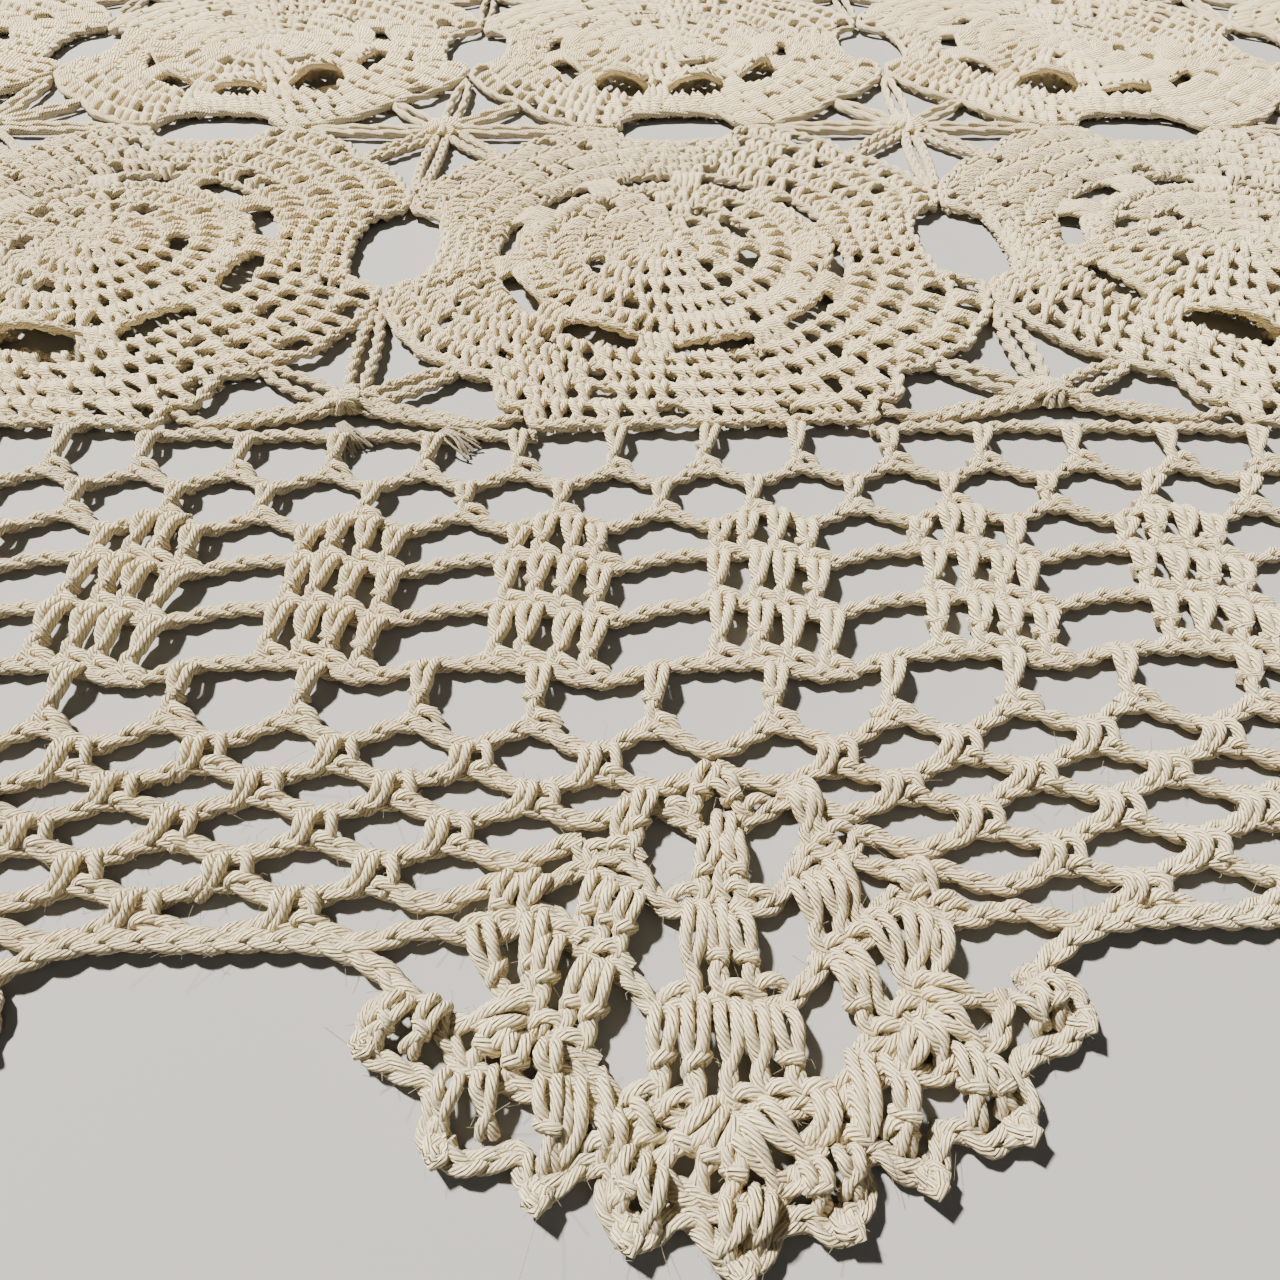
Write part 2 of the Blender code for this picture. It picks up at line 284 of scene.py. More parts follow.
# %% Drawing stitches
# The third strand of a treble's chart is its wrap, which shows on this share of the stitches.
WRAP = 2
WRAPPED = 0.45
# A stitch's two ends stray across, along and up in these shares, and each point of a strand a bit.
START_STRAY = (1, 1, 0.3)
END_STRAY = (0.5, 0.5, 0.3)
POINT_STRAY = 0.006


def stitch(piece, kind, starts, ends, girth=YARN, widths=1.0, uneven=0.02):
    """Draws one stitch of a kind from each start to each end, (x, y, z) in the even layout."""
    starts = np.asarray(starts, float)
    ends = np.asarray(ends, float)
    starts = starts + rng.normal(0, uneven, starts.shape) * START_STRAY
    ends = ends + rng.normal(0, uneven, ends.shape) * END_STRAY
    levels = level_of((starts + ends) / 2)
    widths = np.broadcast_to(widths, len(starts))
    for grade in (FINE, MEDIUM, PLAIN):
        some = levels == grade
        if not some.any():
            continue
        chart = (PLAIN_CHARTS if grade == PLAIN else CHARTS)[kind]
        girths = girth * (PLAIN_GIRTH[kind] if grade == PLAIN else 1.0)
        run = ends[some] - starts[some]
        length = np.linalg.norm(run[:, :2], axis=1, keepdims=True)
        ahead = run[:, :2] / length
        across = np.stack([-ahead[:, 1], ahead[:, 0]], axis=1)
        for place, strand in enumerate(chart):
            a, b, z = np.array(strand).T
            worked = WRAPPED if place == WRAP and kind != "knot" else 1.0
            kept = rng.random(some.sum()) < worked
            lift = starts[some][:, None, 2] + b * run[:, None, 2]
            wide = a * widths[some][:, None]
            flat = (
                starts[some][:, None, :2]
                + b[None, :, None] * run[:, None, :2]
                + wide[..., None] * across[:, None, :]
            )
            points = np.concatenate([flat, (lift + z)[..., None]], axis=2)
            points[..., :2] += rng.normal(0, POINT_STRAY, points[..., :2].shape)
            drop(piece, grade, smoothing(len(strand), STEPS[grade]) @ points[kept], girths)


print("a wrap shows on", WRAPPED, "of the trebles")

# %% [markdown]
# ## The chain
#
# Between the posts runs the chain, a braid in which each loop is drawn through the last one.
# From above it is a row of nested V shapes. Three strands that swing from side to side, each a
# third of a turn behind the last, and dip twice as often as they swing, give just that braid.

# %% Chains
CHAIN_YARN = 0.041
CHAIN_SWING = 0.042
CHAIN_LIFT = 0.032
CHAIN_PERIOD = 0.72
CHAIN_STEPS = {FINE: 0.055, MEDIUM: 0.092, PLAIN: 0.25}
# Far off, two thicker strands round each other stand for the braid.
PLAIN_PERIOD = 1.0
PLAIN_SWING = 0.7
PLAIN_LIFT = 0.025
PLAIN_THICKER = 1.3
PATH_STEPS = 4


def distances(path):
    """How far along a path each of its points lies."""
    return np.concatenate([[0], np.cumsum(np.linalg.norm(np.diff(path, axis=0), axis=1))])


def resampled(path, step):
    """A path with its points an even step apart, and how far along it each one lies."""
    along = distances(path)
    count = max(int(math.ceil(along[-1] / step)), 2)
    places = np.linspace(0, along[-1], count + 1)
    return np.stack([np.interp(places, along, path[:, i]) for i in range(3)], axis=1), places


def smooth_path(points):
    return smoothing(len(points), PATH_STEPS) @ points


def braid(turns, swing, grade):
    """How far aside and up each strand of a chain lies, from its turns at each point."""
    if grade == PLAIN:
        return [
            (PLAIN_SWING * swing * np.sin(turns + a), PLAIN_LIFT * np.cos(turns + a))
            for a in (0, math.pi)
        ]
    return [
        (swing * np.sin(turns + a), CHAIN_LIFT * np.sin(2 * (turns + a)))
        for a in (0, 2 * math.pi / 3, 4 * math.pi / 3)
    ]


print("a chain swings back after", round(CHAIN_PERIOD * CELL * 1000, 1), "mm")

# %% Drawing a chain


def chain(piece, path, swing=CHAIN_SWING, girth=CHAIN_YARN, period=CHAIN_PERIOD):
    """A chain along a path of (x, y, z) points in the even layout."""
    levels = level_of(path)
    cuts = [0, *(np.flatnonzero(np.diff(levels)) + 1), len(path)]
    reached = distances(path)
    phase = rng.uniform(0, 2 * math.pi)
    for first, last in zip(cuts, cuts[1:]):
        before = max(first - 1, 0)
        part = path[before:last]
        if len(part) < 2:
            continue
        grade = int(levels[first])
        line, along = resampled(part, CHAIN_STEPS[grade])
        along = along + reached[before]
        heading = np.gradient(line[:, :2], axis=0)
        heading /= np.linalg.norm(heading, axis=1, keepdims=True) + 1e-9
        across = np.stack([heading[:, 1], -heading[:, 0]], axis=1)
        turns = 2 * math.pi * along / (PLAIN_PERIOD if grade == PLAIN else period) + phase
        girths = girth * (PLAIN_THICKER if grade == PLAIN else 1.0)
        for sideways, up in braid(turns, swing, grade):
            strand = line.copy()
            strand[:, :2] += sideways[:, None] * across
            strand[:, 2] += up
            drop(piece, grade, strand[None], girths)


print("strands in a chain:", len(braid(0, 0, FINE)), "near and", len(braid(0, 0, PLAIN)), "far")

# %% [markdown]
# ## The mesh, the blocks and the tall mesh
#
# The border starts with six rows. Each row is its chain, which swings out between two posts
# because the next row pulls it there, and the posts that hook over the row before. The block rows
# hold four trebles to a block and one empty space, stacked in columns. One space could be copied
# in an array, but the rows dip and wave, so posts and chains are placed along each row.

# %% Mesh and block rows
CHAIN_Z = 0.085
ROW_PLACES = (0.0, 0.67, 1.29, 1.90, 2.50, 3.12, 3.70)
HALF_SHIFT = 0.5
ROWS = (
    ("mesh", 0.0),
    ("mesh", HALF_SHIFT),
    ("blocks", HALF_SHIFT),
    ("blocks", HALF_SHIFT),
    ("blocks", HALF_SHIFT),
    ("mesh", HALF_SHIFT),
)
# For each kind of row: the space it leaves at a corner, its pitch, the places of its posts in
# one pitch, and how thick and wide they are.
KINDS = {
    "mesh": (0.1, 1.0, (0.0,), {"girth": YARN * 1.12, "widths": 0.96}),
    "blocks": (0.6, 2.0, (-0.43, -0.145, 0.145, 0.43), {"girth": YARN * 1.22, "widths": 1.04}),
}
SWAYS = {"base": 0.05, "mesh": 0.19, "blocks": 0.05}
BLOCK_SLOPE = 0.08
CALM_CORNER = 0.6
POST_STRAY = 0.02
HOOK = 0.05
ROW_STEP = 0.11


def spots(reach, pitch, first):
    """Places first + n * pitch along a side that stay within its reach."""
    most = int(2 * reach / pitch) + 2
    places = first + pitch * np.arange(-most, most + 1)
    return places[np.abs(places) <= reach]


def drawn_out(kind, s, shift, reach):
    """How far a row's chain lies outward at s. The stitches that hang on it draw it out between
    its own posts, and in the block rows it climbs from each block to the next."""
    calm = np.clip((reach - np.abs(s)) / CALM_CORNER, 0, 1)
    swing = SWAYS[kind] * (0.5 - 0.5 * np.cos(2 * np.pi * (s - shift)))
    climb = BLOCK_SLOPE * np.sin(np.pi * (s - HALF_SHIFT)) if kind == "blocks" else 0.0
    return calm * (swing + climb)


def row_chain(piece, quarter, s, v):
    chain(piece, side_point(quarter, np.stack([s, v, np.full_like(s, CHAIN_Z)], axis=1)))


def posts_along(piece, kind, quarter, places, inner, outer, slant=0.04, wander=0.022, **finish):
    """Stitches from inner to outer, either one a number or a row of numbers."""
    places = places + rng.normal(0, POST_STRAY, len(places))
    heads = places + slant + rng.normal(0, wander, len(places))
    feet = places - slant + rng.normal(0, wander, len(places))
    flat = np.zeros_like(places)
    starts = np.stack([heads, inner + flat, flat], axis=1)
    ends = np.stack([feet, outer + flat, flat], axis=1)
    stitch(piece, kind, side_point(quarter, starts), side_point(quarter, ends), **finish)


print("rows of the border:", [kind for kind, _ in ROWS])

# %% Working the rows
# The motifs' pads reach this far from their middles, and a base chain bridges what lies between.
PAD_REACH = 1.95
PAD_PLACE = -0.07
BASE_PLACE = 0.02
BRIDGE_REACH = 2.15
BRIDGE_POINTS = 40


def base_place(quarter, s):
    """Where the first row hooks on: the motifs' own edge on a pad, else the base chain."""
    from_pad = np.abs((s + half_length(quarter)) % MOTIF_PITCH - HALF_PITCH)
    return np.where(from_pad < PAD_REACH, PAD_PLACE, BASE_PLACE)


def base_chains(piece, quarter):
    """The chains that bridge the gaps between the pads."""
    half = half_length(quarter)
    for joint in np.arange(-half, half + 1, MOTIF_PITCH):
        first, last = max(joint - BRIDGE_REACH, -half), min(joint + BRIDGE_REACH, half)
        s = np.linspace(first, last, BRIDGE_POINTS)
        row_chain(piece, quarter, s, BASE_PLACE + drawn_out("base", s, HALF_SHIFT, half))


def work_rows(piece, quarter):
    """The six rows of a side, each with its chain, its posts and one post on the diagonal."""
    corner = half_length(quarter)
    base_chains(piece, quarter)
    kind_before, shift_before = "base", HALF_SHIFT
    for (kind, shift), inner, outer in zip(ROWS, ROW_PLACES, ROW_PLACES[1:]):
        reach_before, reach = corner + inner, corner + outer
        s = np.linspace(-reach, reach, int(reach * 2 / ROW_STEP))
        row_chain(piece, quarter, s, outer + drawn_out(kind, s, shift, reach))
        margin, pitch, posts, finish = KINDS[kind]
        for post in posts:
            places = spots(reach_before - margin, pitch, shift) + post
            hold = base_place(quarter, places) if kind_before == "base" else inner
            hold = hold + HOOK + drawn_out(kind_before, places, shift_before, reach_before)
            foot = outer + drawn_out(kind, places, shift, reach)
            posts_along(piece, "post", quarter, places, hold, foot, **finish)
        kind_before, shift_before = kind, shift
        starts, ends = [(reach_before, inner, 0.0)], [(reach, outer, 0.0)]
        stitch(piece, "post", side_point(quarter, starts), side_point(quarter, ends))


print("a base chain bridges", 2 * BRIDGE_REACH, "cells at each joint of two motifs")

# %% [markdown]
# ## The net
#
# Between two fans the net has five rows of loops. A knot sits on the middle of each loop of the
# row before, so beside a fan every row starts half a loop further in, and its ends lean on the
# fan. Beside a corner's fan, which slopes away, the starts only alternate. The net could be a
# sheet with holes, but from so close each loop shows as a chain that hangs from its knots, so
# every chain is drawn along one wavy line.

# %% Net rows
NET_PITCH = 1.06
NET_ROWS = (4.10, 4.38, 4.71, 5.03, 5.29)
FIRST_KNOT = 0.90
FAN_STEP = 0.53
CORNER_STEP = 0.5
NET_SWAY = 0.13
KNOT_HEAD = 0.03
KNOT_FOOT = 0.03
KNOT_LENGTH = 0.18
KNOT_FINISH = {"slant": 0.0, "wander": 0.008, "uneven": 0.008}
NET_STEP = 0.06
# A chain is drawn to the fan over this stretch at either end.
DRAWN_TO_FAN = 0.75
EDGE_SWAY = 0.02
EDGE_LIFT = 0.02
# Where each row's chain ends on the side of a fan: (across, out) from the fan's base.
FAN_HOLDS = [(0.0, -0.06), (0.48, 0.16), (1.02, 0.52), (1.52, 0.84), (1.60, 1.22)]
EDGE_HOLD = (2.02, 1.70)


def sections(quarter):
    """The stretches between fans: (left fan, right fan), the corners being fans too."""
    corner = half_length(quarter) + FAN_BASE
    stops = (-corner, *fans_of(quarter), corner)
    return list(zip(stops, stops[1:]))


def net_line(s, ends, knots, place, sway=NET_SWAY):
    """How far outward a net chain lies at s: in waves between its knots, its ends on the fans."""
    (start, start_v), (stop, stop_v) = ends
    first, pitch = knots
    v = place + sway * (0.5 - 0.5 * np.cos(2 * np.pi * (s - first) / pitch))
    near_start = np.clip(1 - (s - start) / DRAWN_TO_FAN, 0, 1) ** 2
    near_stop = np.clip(1 - (stop - s) / DRAWN_TO_FAN, 0, 1) ** 2
    return v + near_start * (start_v - v) + near_stop * (stop_v - v)


def net_chain(piece, quarter, line, lift=0.0):
    """A chain along a net line, which is given as net_line takes it: (ends, knots, place, sway)."""
    (start, _), (stop, _) = line[0]
    s = np.linspace(start, stop, max(int((stop - start) / NET_STEP), 8))
    points = np.stack([s, net_line(s, *line), np.full_like(s, CHAIN_Z + lift)], axis=1)
    chain(piece, side_point(quarter, points))


def hold_at(fan, hand, hold, on_corner):
    """The place (s, v) where a chain ends on one side of a fan."""
    across, out = hold
    if on_corner:
        across, out = (across - out) * math.sqrt(0.5), (across + out) * math.sqrt(0.5)
    return fan + hand * across, FAN_BASE + out


print("stretches of net on a long side:", len(sections(0)), "and on a short one:", len(sections(1)))

# %% Working the net


def work_net(piece, quarter):
    """The net between each two fans of a side, and the chain along its outer edge."""
    corner = half_length(quarter) + FAN_BASE
    reach = half_length(quarter) + ROW_PLACES[-1]
    for left, right in sections(quarter):
        on_left, on_right = left <= -corner, right >= corner
        line = None
        for row, place in enumerate(NET_ROWS):
            low = left + FIRST_KNOT + (row % 2 * CORNER_STEP if on_left else row * FAN_STEP)
            high = right - FIRST_KNOT - (row % 2 * CORNER_STEP if on_right else row * FAN_STEP)
            count = max(int(round((high - low) / NET_PITCH)) + 1, 1)
            places = np.linspace(low, high, count)
            if line:
                before = net_line(places, *line)
            else:
                before = ROW_PLACES[-1] + drawn_out("mesh", places, HALF_SHIFT, reach)
            heads = np.minimum(before + KNOT_HEAD, place - KNOT_LENGTH + KNOT_FOOT)
            posts_along(piece, "knot", quarter, places, heads, place + KNOT_FOOT, **KNOT_FINISH)
            start = hold_at(left, 1, FAN_HOLDS[row], on_left)
            stop = hold_at(right, -1, FAN_HOLDS[row], on_right)
            knots = (low, (high - low) / max(count - 1, 1))
            line = ((start, stop), knots, place)
            net_chain(piece, quarter, line)
        ends = hold_at(left, 1, EDGE_HOLD, on_left), hold_at(right, -1, EDGE_HOLD, on_right)
        net_chain(piece, quarter, (ends, knots, NET_EDGE, EDGE_SWAY), EDGE_LIFT)


print("rows of loops in the net:", len(NET_ROWS))

# %% [markdown]
# ## The fans
#
# A fan grows from one space between two nets. Its middle rib is groups of two, three, three and
# five trebles with chains between them. On either side an inner and an outer rib meet in a point,
# from which a shell of trebles spreads to the scalloped edge. The charts give the right half as
# (across, out, across, out), the left is its mirror image, and what stands on the middle line is
# worked once. A rule could spread the stitches evenly, but real ones crowd and lean, so their
# places are charted one by one and the same few functions draw them in every fan.

# %% Fan charts
MIDDLE_RIB = [
    (0.07, -0.05, 0.22, 0.36),
    (0.00, 0.46, 0.00, 1.00), (0.13, 0.50, 0.16, 1.02),
    (0.00, 1.08, 0.00, 1.66), (0.17, 1.08, 0.23, 1.68),
    (0.00, 1.72, 0.00, 2.23), (0.19, 1.72, 0.22, 2.24), (0.37, 1.72, 0.42, 2.22),
]
SIDE_RIBS = [
    (0.55, 0.20, 0.67, 0.66), (0.68, 0.18, 0.83, 0.66),
    (0.62, 0.93, 0.72, 1.39), (0.74, 0.87, 0.88, 1.34), (0.87, 0.82, 1.02, 1.28),
    (0.80, 1.45, 0.96, 1.96), (0.92, 1.40, 1.10, 1.87),
    (1.29, 0.88, 1.46, 1.18), (1.43, 0.86, 1.57, 1.24),
    (1.13, 1.20, 1.24, 1.72), (1.32, 1.14, 1.32, 1.72), (1.55, 1.25, 1.40, 1.72),
]
SHELLS = [
    (0.00, 2.29, 0.00, 2.68), (0.07, 2.29, 0.26, 2.62), (0.13, 2.27, 0.48, 2.50),
    (1.39, 1.72, 1.78, 1.76), (1.37, 1.78, 1.60, 1.98),
    (1.29, 1.82, 1.36, 2.10), (1.19, 1.82, 1.10, 2.12),
]
EDGE_TIPS = [
    (0.05, 2.68, 0.07, 2.88),
    (0.47, 2.54, 0.50, 2.74), (0.62, 2.49, 0.68, 2.68),
    (1.06, 2.16, 1.06, 2.50),
    (1.52, 2.08, 1.47, 2.38), (1.66, 2.06, 1.72, 2.34),
    (1.90, 1.70, 2.02, 1.94), (2.08, 1.68, 2.22, 1.88),
]
FAN_CHAINS = [
    [(0.22, 0.36), (0.14, 0.44), (0.00, 0.48)],
    [(0.16, 0.40), (0.28, 0.34), (0.44, 0.27), (0.58, 0.20), (0.72, 0.18)],
    [(0.00, 1.02), (0.22, 1.02), (0.42, 1.00), (0.52, 0.86), (0.64, 0.66), (0.76, 0.66),
     (0.88, 0.64)],
    [(0.00, 1.67), (0.26, 1.68), (0.48, 1.62), (0.62, 1.48), (0.74, 1.38), (0.88, 1.34),
     (1.00, 1.28)],
    [(0.60, 0.90), (0.74, 0.82), (0.88, 0.78), (0.98, 0.68), (1.04, 0.52)],
    [(0.86, 0.66), (1.05, 0.76), (1.26, 0.84), (1.44, 0.82), (1.56, 0.88)],
    [(0.98, 1.26), (1.10, 1.18), (1.24, 1.12), (1.38, 1.10), (1.50, 1.20), (1.60, 1.24)],
    [(1.02, 1.24), (1.14, 1.08), (1.28, 1.02), (1.44, 1.14), (1.58, 1.24)],
    [(0.00, 2.23), (0.24, 2.24), (0.46, 2.22), (0.64, 2.26)],
    [(1.16, 1.84), (0.98, 1.94), (0.84, 2.04), (0.66, 2.20)],
    [(1.20, 1.92), (1.02, 2.05), (0.86, 2.15), (0.70, 2.28)],
    [(1.18, 1.74), (1.26, 1.80), (1.36, 1.77), (1.42, 1.70)],
    [(0.00, 2.70), (0.18, 2.67), (0.34, 2.60), (0.46, 2.51), (0.54, 2.42)],
    [(1.02, 2.12), (1.14, 2.14), (1.30, 2.12), (1.48, 2.08), (1.64, 2.02), (1.78, 1.90),
     (1.86, 1.72)],
]
FAN_EDGE = [
    (0.00, 2.96), (0.12, 2.90), (0.22, 2.78), (0.36, 2.74), (0.50, 2.82), (0.66, 2.78),
    (0.76, 2.66), (0.72, 2.50), (0.86, 2.49), (1.00, 2.58), (1.12, 2.64), (1.22, 2.58),
    (1.26, 2.43), (1.38, 2.44), (1.54, 2.50), (1.72, 2.48), (1.83, 2.36), (1.80, 2.20),
    (1.90, 2.09), (2.06, 2.05), (2.24, 1.98), (2.34, 1.84), (2.28, 1.70), (2.10, 1.63),
    (1.96, 1.68),
]
FAN_KNOTS = [(0.64, 2.22, 0.62, 2.42), (0.86, 2.12, 0.88, 2.44)]
# The picots' places (across, out), and how far each leans outward from the middle, in radians.
PICOTS = [
    (0.0, 2.88, 0.1), (0.60, 2.74, 0.3), (1.12, 2.58, 0.4), (1.70, 2.40, 0.7), (2.24, 1.88, 0.9),
]
print("stitches charted for half a fan:", len(MIDDLE_RIB + SIDE_RIBS + SHELLS + EDGE_TIPS))

# %% Working the fans
FAN_STITCHES = (("post", MIDDLE_RIB), ("post", SIDE_RIBS), ("tight", SHELLS))
FAN_UNEVEN = 0.04
FAN_WIDTH = 0.92
FAN_YARN = 0.9
PATH_STRAY = 0.012
HEAD_LIFT = 0.02
TIP_LIFT = 0.04
PICOT_POINTS = 14
PICOT_RADIUS = 0.06
PICOT_NARROW = 0.8
PICOT_CURL = 0.5
PICOT_SWING = 0.024
PICOT_PERIOD = 0.34
# Two points beside the point where a corner fan hangs on the rows.
CORNER_TIE = np.array([(-0.07, -0.62, 0.02), (0.07, -0.62, 0.02)])


def picot(piece, point, lean, carry):
    """A small loop of chain that curls up over the edge."""
    turn = np.linspace(0.0, 1.0, PICOT_POINTS) * 2 * math.pi
    out = PICOT_RADIUS * (1 - np.cos(turn))
    side = PICOT_RADIUS * PICOT_NARROW * np.sin(turn)
    across = point[0] + side * math.cos(lean) + out * math.sin(lean)
    outward = point[1] + out * math.cos(lean) - side * math.sin(lean)
    loop = np.stack([across, outward, CHAIN_Z + PICOT_CURL * out], axis=1)
    chain(piece, carry(loop), swing=PICOT_SWING, period=PICOT_PERIOD)


def work_chart(piece, kind, chart, hand, carry, lift=0.0, **finish):
    """The stitches of a chart on one side of the middle line."""
    rows = np.array([row for row in chart if row[0] > 0 or hand > 0]) * (hand, 1, hand, 1)
    high = np.full(len(rows), lift)
    starts = np.stack([rows[:, 0], rows[:, 1], high + HEAD_LIFT], axis=1)
    ends = np.stack([rows[:, 2], rows[:, 3], high], axis=1)
    stitch(piece, kind, carry(starts), carry(ends), **finish)


def work_fan(piece, carry):
    """One fan. carry takes (across, out, z) from the fan's base to the layout."""
    tips = {"lift": TIP_LIFT, "girth": YARN * FAN_YARN, "uneven": FAN_UNEVEN}
    for hand in (-1, 1):
        finish = {"girth": YARN, "uneven": FAN_UNEVEN, "widths": FAN_WIDTH * hand}
        for kind, chart in FAN_STITCHES:
            work_chart(piece, kind, chart, hand, carry, **finish)
        work_chart(piece, "tight", EDGE_TIPS, hand, carry, **tips)
        work_chart(piece, "knot", FAN_KNOTS, hand, carry)
        for path in FAN_CHAINS + [FAN_EDGE]:
            flat = np.array(path) * (hand, 1) + rng.normal(0, PATH_STRAY, (len(path), 2))
            points = np.concatenate([flat, np.full((len(flat), 1), CHAIN_Z)], axis=1)
            chain(piece, carry(smooth_path(points)), girth=CHAIN_YARN * FAN_YARN)
        for across, out, lean in PICOTS:
            if across or hand == 1:
                picot(piece, (across * hand, out), lean * hand, carry)


def work_fans(piece, quarter):
    """The fans along a side and the one on the corner after it, which is tied to the rows."""
    for fan in fans_of(quarter):
        work_fan(piece, lambda p, f=fan: side_point(quarter, p + (f, FAN_BASE, 0)))
    work_fan(piece, lambda p: corner_point(quarter, p))
    starts = corner_point(quarter, CORNER_TIE)
    ends = corner_point(quarter, CORNER_TIE * (1, 0, 0))
    stitch(piece, "tight", starts, ends)


print("fans round the runner:", 2 * (len(LONG_FANS) + len(SHORT_FANS)) + 4)

# %% [markdown]
# ## The motifs
#
# A rosette is worked from its centre in rounds. The disc in the middle is four rounds of
# trebles inside a rim of petals, whose edges curl up. A ring of slits parts it from four more
# rounds, and the last of them follows the motif's outline: flat pads where it meets its
# neighbours, a bay in between, a straight edge along the border. Stitches could be copied round
# by instances, but each strays a little and some are missed, so each gets its own angle.

# %% Motif outline
CORNER_FLAT = [(2.80, 3.00)]
SHARED_SIDE = [(2.55, 3.42), (2.10, 3.72), (1.62, 4.00), (1.12, 4.00), (0.87, 3.52), (0.30, 3.42)]
BORDER_SIDE = [(2.44, 3.08), (2.30, 3.60), (2.00, 3.68), (1.95, 4.00)]


def motif_outline(on_border):
    """The outline's points round the middle, for which of the four sides lie on the border."""
    outline = []
    for quarter in range(4):
        half = CORNER_FLAT + (BORDER_SIDE if on_border[quarter] else SHARED_SIDE)
        side = [(-a, out) for a, out in half] + [(a, out) for a, out in reversed(half)]
        outline += [turned(a, -out, quarter) for a, out in side]
    return np.array(outline)


def reach_at(outline, angles):
    """How far the outline lies from the centre in each direction."""
    corners = np.concatenate([outline, outline[:1]])
    found = np.zeros(len(angles))
    for (ax, ay), (bx, by) in zip(corners, corners[1:]):
        cross = ax * by - ay * bx
        width = (by - ay) * np.cos(angles) - (bx - ax) * np.sin(angles)
        r = cross / np.where(np.abs(width) < 1e-9, 1e-9, width)
        share_x, share_y = r * np.cos(angles) - ax, r * np.sin(angles) - ay
        t = (share_x * (bx - ax) + share_y * (by - ay)) / ((bx - ax) ** 2 + (by - ay) ** 2)
        hit = (t >= -1e-6) & (t <= 1 + 1e-6) & (r > 0)
        found = np.where(hit, np.maximum(found, r), found)
    return found


print("points in the outline of a motif on the border:", len(motif_outline((1, 0, 0, 0))))

# %% Motif rounds
# Rounds of the disc: (inner radius, outer radius, stitches, height, share of stitches worked).
DISC = [
    (0.08, 0.45, 12, 0.09, 1.0),
    (0.49, 0.87, 24, 0.06, 0.95),
    (0.91, 1.29, 36, 0.05, 0.80),
    (1.33, 1.72, 48, 0.05, 0.90),
]
# Rounds of the ring: (start and end as shares of the way to the outline, stitches, height).
RING_STARTS = 2.48
RING = [
    (0.02, 0.235, 80, 0.0),
    (0.265, 0.485, 90, 0.02),
    (0.515, 0.735, 100, 0.02),
    (0.765, 0.98, 110, 0.01),
]
WORKED = 0.93
EDGE_HEIGHT = 0.12
DISC_LEAN = 0.04
DISC_EDGE = 0.02
RING_LEAN = 0.017
RING_SHORTER = 0.08
RING_EDGE = 0.015
ROUND_UNEVEN = 0.03
DISC_ANGLES_UNEVEN = 0.16
RING_ANGLES_UNEVEN = 0.2
MOTIF_YARN = 1.12
# The discs sit a little off the middle of their motifs, toward the near edge.
DISC_SHIFT = np.array((-0.14, -0.20))


def ring_path(centre, radii, angles, z):
    """Points (x, y, z) round a centre, for radii and angles."""
    x = centre[0] + radii * np.cos(angles)
    y = centre[1] + radii * np.sin(angles)
    return np.stack([x, y, np.broadcast_to(z, x.shape)], axis=1)


def uneven_angles(spin, count, uneven):
    """Angles round the motif, each strayed by a share of the step between them."""
    step = 2 * math.pi / count
    return spin + step * (np.arange(count) + 0.5 + rng.normal(0, uneven, count))


def work_round(piece, centre, angles, lean, inner, outer, height, worked):
    """Short stitches from one radius to another, a few of them missed."""
    kept = rng.random(len(angles)) < worked
    inner = np.broadcast_to(inner, angles.shape)[kept]
    outer = np.broadcast_to(outer, angles.shape)[kept]
    starts = ring_path(centre, inner, angles[kept] - lean, height)
    ends = ring_path(centre, outer, angles[kept] + lean, height)
    stitch(piece, "grain", starts, ends, girth=YARN * MOTIF_YARN, uneven=ROUND_UNEVEN)


stitches = sum(count for _, _, count, _, _ in DISC), sum(count for _, _, count, _ in RING)
print("places for stitches in a disc and in the ring round it:", stitches)

# %% Petals
PETALS = 10
PETAL_TREBLES = 7
PETAL_STARTS = 1.76
PETAL_RADIUS = 2.20
PETAL_CROWN = 0.13
PETAL_DRAWN_IN = 0.32
PETAL_HALF_WIDTH = 0.45
PETAL_POINTS = 26
PETAL_CURL = (0.16, 0.40)
# A petal at the front takes all of its curl and crown, one at the back a tenth.
FRONT_MEAN = 0.55
FRONT_SWING = 0.45
# The edge chain and the trebles' two ends lie this high where the petal doesn't curl.
PETAL_HEIGHTS = (0.09, 0.05, 0.02)
TREBLE_REACH = 0.84
SPOKES = np.array([-0.075, -0.025, 0.025, 0.075])
SPOKE_LAP = 0.06
SPOKE_HEIGHTS = (0.03, 0.01)


